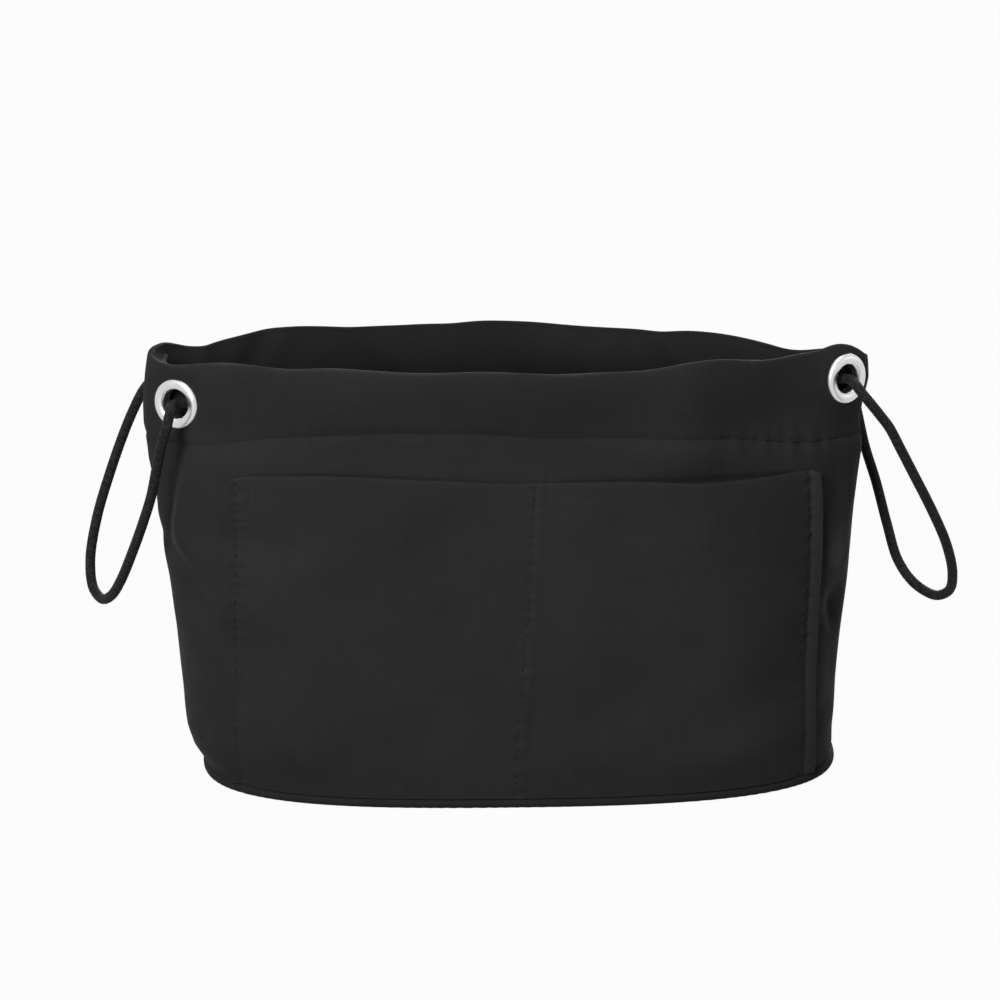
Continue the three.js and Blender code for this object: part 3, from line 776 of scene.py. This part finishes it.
def nickel(name):
    """Bright nickel plate: soft haze in the gloss and fine scratches, a little lighter where it is dull."""
    material, tree, shader = new_material(name)
    place = add_node(tree, "ShaderNodeTexCoord").outputs["Object"]
    haze = noise(tree, place, 420.0, 3.0)
    scratches = drawn_noise(tree, place, (900.0, 900.0, 5200.0), 2.0)
    set_inputs(tree, shader, {
        "Base Color": mix_colours(tree, haze, (0.58, 0.58, 0.57, 1), (0.74, 0.74, 0.73, 1)),
        "Roughness": spread(tree, haze, (0.3, 0.7), (0.24, 0.36)),
        "Normal": bumps(tree, scratches, 0.1, 0.0001),
        "Metallic": 1.0,
    })
    return material


def stiff_board(name):
    """Stiffening sheet in the base: flat grey with a fine grain."""
    material, tree, shader = new_material(name)
    place = add_node(tree, "ShaderNodeTexCoord").outputs["Object"]
    grain = noise(tree, place, 900.0, 4.0)
    colour = mix_colours(tree, grain, (0.2, 0.19, 0.17, 1), (0.28, 0.27, 0.24, 1))
    set_inputs(tree, shader, {"Base Color": colour, "Roughness": 0.7})
    return material


SHELL_NYLON = nylon("shell_nylon", (0.0112, 0.0112, 0.0109), (0.0306, 0.0306, 0.0298))
# Lining darker than the shell: partly its own tone, partly painted shade for the inside of the bag
LINING_NYLON = nylon("lining_nylon", (0.012, 0.012, 0.0117), (0.0176, 0.0176, 0.017), crinkle=0.7)
PIPING_NYLON = nylon("piping_nylon", (0.0135, 0.0135, 0.0131), (0.0208, 0.0208, 0.02), crinkle=0.7)
THREAD = nylon("sewing_thread", (0.01, 0.01, 0.01), (0.016, 0.016, 0.016), pitch=0.3, crinkle=0.2)
CORD_BRAID = braid("braided_cord")
NICKEL = nickel("nickel_plate")
BOARD = stiff_board("base_board")


def bend_with_mouth(piece):
    """Bakes the piece's placement into its mesh."""
    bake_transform(piece)


def build_shell(quarter):
    """One quarter of the outer wall, from the base seam to behind the casing's lower edge, where it tucks
    in. A painted highlight lightens it a little along the crest at the left, and much more on the swell at
    the right front."""
    coarse = GRID_STEP / WALL_LENGTH
    rows = graded(0, 1, [0.885, 0.97], 0.045, 0.35 * coarse, coarse)
    turn, up = np.meshgrid(quarter_turns(quarter), rows)
    top = stitch_level(turn) + TUCK_HEIGHT
    level = WALL_FOOT + (top - WALL_FOOT) * up
    step = 0.5 + 0.14 * ramp(along_turn(turn, FRONT), 0.2, 0.5)
    tuck = step * ramp(level - stitch_level(turn), -2.6, -0.2) + pocket_dent(turn, level)
    # painted highlight along the crest of the fold at the left end
    crest = 0.05 * bump(beside_crest(turn, level), 0.5, 6.0) * ramp(level, 48, 60) * ramp(level, 108, 100)
    # painted highlight: a lighter patch standing in for the lit face of the fold at the right front
    swell_highlight = 1.3 * bump(along_turn(turn, RIGHT_END), -0.26, 0.08) * bump(level, 63, 10)
    face, back = wall(turn, level, tuck), wall(turn, level, tuck + SHELL_CLOTH)
    piece = make_sheet(f"{quarter}_shell", face, back, SHELL_NYLON, painted_highlight=crest + swell_highlight)
    side = quarter.split("_")[0]
    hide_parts(f"{side}_panel")
    bend_with_mouth(piece)


def build_lining(quarter):
    """One quarter of the lining: beside the shell, from the base lining to behind the casing's inner edge."""
    rows = np.linspace(0, 1, round(WALL_LENGTH / GRID_STEP / 2) + 1)
    turn, up = np.meshgrid(quarter_turns(quarter)[::2], rows)
    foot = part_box("base_lining")[1].z / MM
    level = foot + (stitch_level(turn) + TUCK_HEIGHT - foot) * up
    depth = LINING_DEPTH + 0.5 * ramp(level - stitch_level(turn), -2.0, -8.0) + pocket_dent(turn, level)
    face, back = wall(turn, level, depth), wall(turn, level, depth + LINING_CLOTH)
    piece = make_sheet(f"{quarter}_lining", face, back, LINING_NYLON)
    side = quarter.split("_")[0]
    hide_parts(f"{side}_lining")
    bend_with_mouth(piece)


def casing_section(turn, ply):
    """Folded strip of the casing: up its outer ply, round the fold at the rim and down its inner ply,
    which swells round the cord. At the left end the fold is wider, with a furrow along it. `ply` is
    the distance in from the strip's outer face."""
    low = stitch_level(turn)
    lip = bump(along_turn(turn, LIP_TURN), 0, LIP_REACH)
    edge = CASING_EDGE / 2
    fold = edge * (1 + LIP_WIDENING * lip)
    high = rim_level(turn) - edge
    share = np.linspace(0, 1, 19)[:, None]
    bend = np.linspace(0, np.pi, 9)[1:-1, None]
    plump = np.sin(np.pi * share) ** 0.8
    outer_level = low + (high - low) * share
    seam = SEAM_DEPTH * ramp(share, 0.11, 0.0)
    outer_depth = seam - CASING_SWELL_OUT * plump + ply + 0 * turn
    fold_level = high + (edge - ply) * np.sin(bend) * (1 - LIP_FURROW * lip * np.sin(bend) ** 6)
    fold_depth = fold - (fold - ply) * np.cos(bend)
    inner_depth = 2 * fold + seam + (CASING_SWELL_IN - 2 * fold + CASING_EDGE) * plump - ply
    level = np.concatenate([outer_level, fold_level, outer_level[::-1]])
    depth = np.concatenate([outer_depth, fold_depth, inner_depth[::-1]])
    return wall(np.broadcast_to(turn, level.shape), level, depth)


def line_inside(piece, fold):
    """Gives the lining's darker cloth, which also stands for shade inside the bag, to the faces whose place
    on the strip is past the fold.
    """
    mesh = piece.data
    up = np.zeros((len(mesh.loops), 2), np.float32)
    mesh.uv_layers["cloth"].data.foreach_get("uv", up.ravel())
    first = np.zeros(len(mesh.polygons), np.int32)
    mesh.polygons.foreach_get("loop_start", first)
    mesh.materials.append(LINING_NYLON)
    mesh.polygons.foreach_set("material_index", (up[first, 1] > fold).astype(np.int32))


def build_casing(quarter):
    """One quarter of the drawstring casing, with the hole for its eyelet in the outer ply. Its fold carries
    an uneven painted highlight along the left of the front."""
    turn = quarter_turns(quarter)
    outer = casing_section(turn, 0.0)
    inner = casing_section(turn, CASING_PLY)
    seat, normal, _ = EYELET_SEATS[quarter]
    away = (outer[:-1, :-1] + outer[1:, 1:]) / 2 - seat
    depth = away @ normal
    radial = np.linalg.norm(away - depth[..., None] * normal, axis=-1)
    hole = (radial < EYELET_HOLE / 2 + CLOTH_HOLE_MARGIN) & (abs(depth) < CLOTH_HOLE_DEPTH)
    middle = len(outer) // 2
    # Painted highlight along the fold at the rim, uneven, strongest left of the front's middle
    uneven = 0.5 + 0.3 * np.sin(turn * 21 + 2 * np.sin(turn * 8)) + 0.2 * np.sin(turn * 47)
    uneven = uneven * 0.8 * ramp(abs(along_turn(turn, 2.75)), 0.6, 0.35)
    highlight_share = bump(np.arange(len(outer)), middle, 2.5)[:, None] * uneven
    piece = make_sheet(f"{quarter}_casing_strip", outer, inner, SHELL_NYLON, ~hole, highlight_share)
    line_inside(piece, arc_lengths(outer[:, len(turn) // 2])[middle])
    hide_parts(f"{quarter}_casing")
    bend_with_mouth(piece)


def build_eyelet(quarter):
    """Eyelet as a ring of revolution: a rolled flange that domes over the cloth, and a barrel. The washer
    behind it is the solid's own."""
    seat, normal, outboard = EYELET_SEATS[quarter]
    hole, flange = EYELET_HOLE / 2, EYELET_FLANGE / 2
    crown = (hole + flange) / 2
    across = (flange - hole) / 2
    bend = np.linspace(0, np.pi, 17)
    arch = np.sin(bend) ** 0.8
    dome = np.stack([crown - across * np.cos(bend), EYELET_DOME * arch], 1)
    under = np.stack([crown + (across - EYELET_METAL) * np.cos(bend), (EYELET_DOME - EYELET_METAL) * arch], 1)
    outside = hole + EYELET_METAL
    barrel = np.array([(outside, 0.4), (outside, -EYELET_TAIL), (hole, -EYELET_TAIL), (hole, -0.6)])
    profile = np.concatenate([dome, under[:9], barrel])
    turns = np.linspace(0, 2 * np.pi, 64, endpoint=False)
    spoke = np.cos(turns)[:, None] * outboard + np.sin(turns)[:, None] * np.cross(normal, outboard)
    points = (seat + profile[None, :, :1] * spoke[:, None] + profile[None, :, 1:] * normal).reshape(-1, 3)
    index = np.arange(len(points)).reshape(len(turns), len(profile)).T
    faces = facing_out(points, ring_quads(index, np.roll(index, -1, 0)))
    piece = make_object(f"{quarter}_eyelet_ring", points, faces, points[:, :2], NICKEL, crease=60)
    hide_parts(f"{quarter}_eyelet")
    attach(piece, f"{quarter}_band")
    washer_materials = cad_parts[f"{quarter}_washer"].data.materials
    washer_materials.clear()
    washer_materials.append(NICKEL)


def make_cord(name, path, up):
    """A braided cord along a path, with the strands' crossings as a fine relief of two sets of helices."""
    around = np.linspace(0, 2 * np.pi, CORD_SIDES, endpoint=False)[None] * BRAID_STRANDS / 2
    rise = arc_lengths(path)[:, None] * BRAID_RISE
    strand = np.maximum(abs(np.sin(around + rise)), abs(np.sin(around - rise)))
    radius = CORD_DIAMETER / 2 * (0.9 + 0.12 * strand)
    return make_tube(name, path, radius, CORD_BRAID, np.array(up))


def build_channel_cord(quarter):
    """Cord in one quarter of the casing: along the tunnel, through the eyelet and out to the loop."""
    seat, normal, outboard = EYELET_SEATS[quarter]
    middle = BACK if "back" in quarter else FRONT
    end = 0 if "right" in quarter else LEFT_END
    beside = (end + eyelet_turn(quarter) * quarter_flip(quarter)[:2].prod()) % 4
    turn = middle + along_turn(beside, middle) * RUN_SHARES
    run = wall(turn, RUN_LEVEL + (seat[2] - RUN_LEVEL) * RUN_SHARES, RUN_DEPTH)
    bend = [seat - outboard * inboard - normal * depth for inboard, depth in EYELET_BEND]
    away = np.sign(seat) * (1, 1, 0)
    stub = seat + away * STUB_END
    path = smooth_path([*run, *bend, stub - away * STUB_BEFORE, stub, stub + away * STUB_PAST], CORD_STEP)
    piece = make_cord(f"{quarter}_cord_run", path, (0, 0, 1.0))
    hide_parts(f"{quarter}_cord")
    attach(piece, f"{quarter}_band")


def build_loop(side, route, pull):
    """One cord loop, from the front eyelet's stub down and round to the back eyelet's stub."""
    path = smooth_path(route, CORD_STEP)
    piece = make_cord(f"{side}_cord_loop", path, (1.0, 0.2, 0.1))
    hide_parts(f"{side}_loop_front_leg", f"{side}_loop_bight", f"{side}_loop_back_leg")
    pull = unit(pull)
    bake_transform(piece)


def pocket_level(x, rise):
    """Height on the pocket for a share up it: from its foot to its slightly uneven top."""
    return POCKET_FOOT + (by_table(x, POCKET_TOP_LINE) - POCKET_FOOT) * rise


def pocket_seam(rise):
    """x of the pocket's middle seam, which leans to the right."""
    return CENTRE_SEAM_FOOT + (CENTRE_SEAM_TOP - CENTRE_SEAM_FOOT) * rise


def pocket_gape(x, rise):
    """How far the pocket stands off the front: sewn at its sides, its foot and its middle seam, and
    gaping towards the top of each compartment."""
    seam = pocket_seam(rise)
    left = np.clip((x - POCKET_LEFT) / (seam - POCKET_LEFT), 0, 1)
    right = np.clip((POCKET_RIGHT - x) / (POCKET_RIGHT - seam), 0, 1)
    left_gape = LEFT_GAPE * np.sin(np.pi * left) ** 1.2
    right_gape = RIGHT_GAPE * np.sin(np.pi * right ** 1.3) ** 1.2
    return np.where(x < seam, left_gape, right_gape) * rise ** 1.8


def pocket_sewing(x, rise):
    """Relief of the sewing: turned hems at the sides, stitched in, and the middle seam with a low ridge to
    its right, all with small gathers."""
    level = pocket_level(x, rise)
    seam = pocket_seam(rise)
    edge = np.minimum(x - POCKET_LEFT, POCKET_RIGHT - x)
    hem = np.where(x < 0, 0.9, 1.2) * np.clip(1 - edge / POCKET_HEM, 0, 1)
    needle = 0.6 + 0.4 * np.cos(level * 2 * np.pi / STITCH_PITCH)
    drawn = needle * ((0.08 + 0.16 * rise ** 2) * bump(x, seam, 0.9) + 0.7 * bump(edge, POCKET_HEM, 0.8))
    gathers = np.sin(level * 1.9 + 2.2 * np.sin(level * 0.41 + 0.03 * x))
    gathers = gathers + 0.8 * np.sin(level * 1.1 + 0.4 + 0.05 * x)
    ripple = 0.2 * gathers * (0.7 * bump(x, seam + 0.6, 1.6) + bump(edge, POCKET_HEM + 0.6, 1.7))
    return hem - drawn + ripple + 0.22 * bump(x, seam + 1.9, 1.3)


def pocket_swell(x, rise):
    """Broad shape of the pocket: an upright bend in its right half, and waves that die out at the seams."""
    level = pocket_level(x, rise)
    edge = np.minimum(x - POCKET_LEFT, POCKET_RIGHT - x)
    ridge = 57 + 0.17 * (88 - level)
    bend = (2.0 + 1.3 * ramp(level, 64, 84)) * np.where(x < ridge, bump(x, ridge, 14), bump(x, ridge, 18))
    waves = 0.8 * np.sin(x * 0.07 + level * 0.045 + 0.5) * np.sin(level * 0.06 - x * 0.02 + 0.9)
    waves = waves + 0.3 * np.sin(x * 0.19 - level * 0.13) * np.sin(level * 0.11 + x * 0.05)
    waves = waves * ramp(edge, 4, 28) * ramp(abs(x - pocket_seam(rise)), 1, 24) * ramp(level, 4, 22)
    return bend * ramp(level, 30, 58) + waves + 0.5 * ramp(edge, POCKET_HEM, 12)


def pocket_face(x, rise, outset):
    """Face of the pocket: the front wall moved out by the gape, the broad shape and the outset. The outer
    face, which has an outset, also shows the sewing. The right side is drawn in towards its foot."""
    level = pocket_level(x, rise)
    move = 0.3 + pocket_gape(x, rise) + pocket_swell(x, rise) + outset
    if outset > 0:
        move = move + pocket_sewing(x, rise)
    drawn_in = 2.2 * ramp(level, 94, 24) * np.clip(x / POCKET_RIGHT, 0, 1) ** 3
    return wall(turn_at_x(x - drawn_in, level), level, -np.maximum(move, 0.15 + outset))


def build_pocket(side):
    """Half of the front patch pocket, left or right of the bag's middle, with a painted highlight along its
    top and along the right hem."""
    low, high = (POCKET_LEFT, 0.0) if side == "left" else (0.0, POCKET_RIGHT)
    dense_at = [POCKET_LEFT + 3, POCKET_RIGHT - 3, CENTRE_SEAM_FOOT, CENTRE_SEAM_TOP]
    across = graded(low, high, dense_at, 4.0, 0.4, GRID_STEP)
    x, rise = np.meshgrid(across, graded(0, 1, [1.0], 0.03, 0.004, 0.0075))
    face, back = pocket_face(x, rise, POCKET_CLOTH), pocket_face(x, rise, 0.0)
    # painted highlight along the pocket's top edge and on its right hem strip
    highlight_share = 0.2 * bump(rise, 1, 0.008) + 0.16 * ramp(POCKET_RIGHT - x, POCKET_HEM, POCKET_HEM - 0.6)
    piece = make_sheet(f"front_pocket_{side}", face, back, SHELL_NYLON, painted_highlight=highlight_share)
    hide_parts("front_pocket")
    bend_with_mouth(piece)


def build_piping():
    """Piping round the base: a closed tube of cloth over cord, drawn in by slanting gathers."""
    count = 640
    path = wall(np.linspace(0, 4, count, endpoint=False), np.full(count, 1.0))
    path[:, 2] = PIPING_RADIUS
    around = np.linspace(0, 2 * np.pi, 20, endpoint=False)[None]
    way = np.arange(count)[:, None] * 0.85
    gathers = np.sin(way * 1.9 + 1.5 * around + 1.2 * np.sin(way * 0.31)) * (0.6 + 0.4 * np.sin(way * 0.083))
    radius = PIPING_RADIUS * (0.97 + 0.03 * gathers)
    piece = make_tube("base_piping_roll", path, radius, PIPING_NYLON, np.array([0, 0, 1.0]), closed=True)
    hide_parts("base_piping")
    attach(piece, "bag")


def base_layer(name, node, material, level, thickness, inset, sag=0.0):
    """Flat oval layer of the base: a square grid drawn out to the outline, level but for a shallow sag."""
    side = np.linspace(-1, 1, 81)
    u, v = np.meshgrid(side, side)
    disc_x = u * np.sqrt(1 - v ** 2 / 2)
    disc_y = v * np.sqrt(1 - u ** 2 / 2)
    radius = np.minimum(np.hypot(disc_x, disc_y), 1)
    turn = np.arctan2(disc_y, disc_x) * 2 / np.pi % 4
    edge = wall(turn, np.full_like(turn, 1.0), inset)
    dip = sag * (1 - radius ** 2 + 0.8 * np.sin(u * 9 + v * 4) * (1 - radius ** 4))
    top = np.stack([edge[..., 0] * radius, edge[..., 1] * radius, level + thickness + dip], -1)
    piece = make_sheet(name, top, top - (0, 0, thickness), material)
    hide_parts(node)
    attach(piece, "bag")
    return piece


def build_base():
    """Base: outer panel, stiff board, lining and piping."""
    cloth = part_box("base_panel")[0].z / MM + 0.35
    board_low, board_high = (corner.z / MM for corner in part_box("base_board"))
    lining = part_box("base_lining")[0].z / MM + 0.2
    inset = PIPING_RADIUS + 0.1
    outer = base_layer("base_outer_cloth", "base_panel", SHELL_NYLON, cloth, SHELL_CLOTH,
                       inset)
    base_layer("base_stiffener", "base_board", BOARD, board_low, board_high - board_low, inset)
    inner = base_layer("base_inner_cloth", "base_lining", LINING_NYLON, lining, LINING_CLOTH,
                       inset=1.9, sag=0.15)
    build_piping()


def stitch_row(name, path, normal, length, proud):
    """A row of stitches along a path: each is a small spindle, longest along the path, half sunk, and a
    little shorter or to the side by sines of its number."""
    way = arc_lengths(path)
    places = np.arange(STITCH_PITCH / 2, way[-1], STITCH_PITCH)
    number = np.arange(len(places))
    up = unit(resample(places, way, normal))
    ahead = resample(places, way, np.gradient(path, axis=0))
    ahead = unit(ahead - (ahead * up).sum(1, keepdims=True) * up)
    side = np.cross(up, ahead)
    drift = 0.12 * (np.sin(number * 2.4) + np.sin(number * 5.9 + 1))
    centre = resample(places, way, path) + drift[:, None] * side
    stretched = ahead * (0.9 + 0.16 * np.sin(number * 3.7))[:, None]
    along = np.linspace(-1, 1, STITCH_RINGS)[:, None]
    girth = np.sqrt(np.clip(1 - (0.94 * along) ** 2, 0, 1))
    around = np.linspace(0, 2 * np.pi, STITCH_SIDES, endpoint=False)
    shape = np.stack(np.broadcast_arrays(
        along * length / 2, girth * np.cos(around) * STITCH_WIDTH / 2, girth * np.sin(around) * proud,
    ), -1)
    axes = np.stack([stretched, side, up], 1)
    points = (centre[:, None, None] + shape @ axes[:, None]).reshape(-1, 3)
    index = np.arange(len(points)).reshape(len(places), STITCH_RINGS, STITCH_SIDES)
    caps = index[:, 0, ::-1].tolist() + index[:, -1].tolist()
    faces = facing_out(points, ring_quads(index[:, :-1], index[:, 1:]), caps)
    uv = np.tile(shape[..., :2].reshape(-1, 2), (len(places), 1))
    piece = make_object(name, points, faces, uv, THREAD, crease=70)
    return piece


def build_casing_stitches(quarter):
    """Row of stitches just above the casing's lower edge, outside."""
    turn = np.linspace(*QUARTERS[quarter], 400)
    level = stitch_level(turn) + 0.8
    path = wall(turn, level, 0.7 * SEAM_DEPTH)
    name = f"{quarter}_casing_stitches"
    piece = stitch_row(name, path, outward(turn, level), CASING_STITCH_LENGTH, STITCH_PROUD)
    bend_with_mouth(piece)


def build_pocket_stitches():
    """Rows of stitches down both sides of the pocket and along its middle seam."""
    rise = np.linspace(0.01, 0.99, 300)
    seams = {
        "left": ("front_left", np.full_like(rise, POCKET_LEFT + POCKET_HEM), STITCH_PROUD),
        "right": ("front_right", np.full_like(rise, POCKET_RIGHT - POCKET_HEM), STITCH_PROUD),
        "middle": ("front_right", pocket_seam(rise), CENTRE_STITCH_PROUD),
    }
    for name, (quarter, x, proud) in seams.items():
        path = pocket_face(x, rise, POCKET_CLOTH)
        level = pocket_level(x, rise)
        normal = outward(turn_at_x(x, level), level)
        piece = stitch_row(f"pocket_{name}_stitches", path, normal, POCKET_STITCH_LENGTH, proud)
        bend_with_mouth(piece)


def build_camera():
    """Camera above the front and a little to the left of it, aimed so that the target shows at its pixel."""
    sideways, forward = np.sin(CAMERA_AZIMUTH), np.cos(CAMERA_AZIMUTH)
    level, rise = np.cos(CAMERA_ELEVATION), np.sin(CAMERA_ELEVATION)
    back = np.array([sideways * level, -forward * level, rise])
    right = np.array([forward, sideways, 0])
    eye = CAMERA_TARGET + CAMERA_DISTANCE * back
    across, down = (PHOTO_WIDTH / 2 - pixel for pixel in TARGET_PIXEL)
    aim = CAMERA_TARGET + (across * right - down * np.cross(back, right)) * PIXEL_SIZE
    data = bpy.data.cameras.new("camera")
    data.sensor_width = SENSOR_WIDTH
    data.lens = SENSOR_WIDTH * CAMERA_DISTANCE / (PHOTO_WIDTH * PIXEL_SIZE)
    camera = bpy.data.objects.new("camera", data)
    camera.location = eye
    camera.rotation_euler = Vector(aim - eye).to_track_quat("-Z", "Y").to_euler()
    bpy.context.scene.collection.objects.link(camera)
    bpy.context.scene.camera = camera


def build_lamp(name, place, size, power):
    """A square soft lamp aimed at the bag."""
    data = bpy.data.lights.new(name, "AREA")
    data.shape = "SQUARE"
    data.size = size
    data.energy = power
    lamp = bpy.data.objects.new(name, data)
    lamp.location = place
    lamp.rotation_euler = (LAMP_AIM - Vector(place)).to_track_quat("-Z", "Y").to_euler()
    bpy.context.scene.collection.objects.link(lamp)


def seen_directly(tree):
    """One for rays from the camera, mirrors and glass, and nought for rays that only light things."""
    path = add_node(tree, "ShaderNodeLightPath").outputs
    seen = calc(tree, "MAXIMUM", path["Is Camera Ray"], path["Is Glossy Ray"])
    return calc(tree, "MAXIMUM", seen, path["Is Transmission Ray"])


def build_floor():
    """White floor that keeps a faint shadow."""
    mesh = bpy.data.meshes.new("floor")
    corners = [(-1, -1), (1, -1), (1, 1), (-1, 1)]
    mesh.from_pydata([(x * FLOOR_HALF, y * FLOOR_HALF, FLOOR_LEVEL) for x, y in corners], [], [(0, 1, 2, 3)])
    floor = bpy.data.objects.new("floor", mesh)
    bpy.context.scene.collection.objects.link(floor)
    material, tree, shader = new_material("floor_white")
    tree.nodes.remove(shader)
    matt = add_node(tree, "ShaderNodeBsdfDiffuse", {"Color": (0.2, 0.2, 0.2, 1)})
    glow = add_node(tree, "ShaderNodeEmission", {"Color": (1, 1, 1, 1), "Strength": 1.0})
    share = calc(tree, "MULTIPLY", seen_directly(tree), FLOOR_GLOW)
    mixed = add_node(tree, "ShaderNodeMixShader", {0: share, 1: matt.outputs[0], 2: glow.outputs[0]})
    set_inputs(tree, tree.nodes["Material Output"], {0: mixed.outputs[0]})
    mesh.materials.append(material)


def build_surroundings():
    """White surroundings that light the bag only a little."""
    world = bpy.data.worlds.new("surroundings")
    world.use_nodes = True
    bpy.context.scene.world = world
    tree = world.node_tree
    level = calc(tree, "MULTIPLY_ADD", seen_directly(tree), 1 - SURROUNDING_LIGHT, SURROUNDING_LIGHT)
    set_inputs(tree, tree.nodes["Background"], {"Color": (1, 1, 1, 1), "Strength": level})


def build_stage():
    """Floor, surroundings and lamps."""
    build_floor()
    build_surroundings()
    for name, (place, size, power) in LAMPS.items():
        build_lamp(name, place, size, power)
    bpy.context.scene.view_settings.view_transform = "Standard"


def main():
    """Builds the stage and every piece of the bag."""
    build_camera()
    build_stage()
    build_loop("left", LEFT_LOOP, LEFT_PULL)
    build_loop("right", RIGHT_LOOP, RIGHT_PULL)
    build_base()
    for quarter in QUARTERS:
        build_shell(quarter)
        build_lining(quarter)
        build_casing(quarter)
        build_eyelet(quarter)
        build_channel_cord(quarter)
        build_casing_stitches(quarter)
    build_pocket("left")
    build_pocket("right")
    build_pocket_stitches()


main()
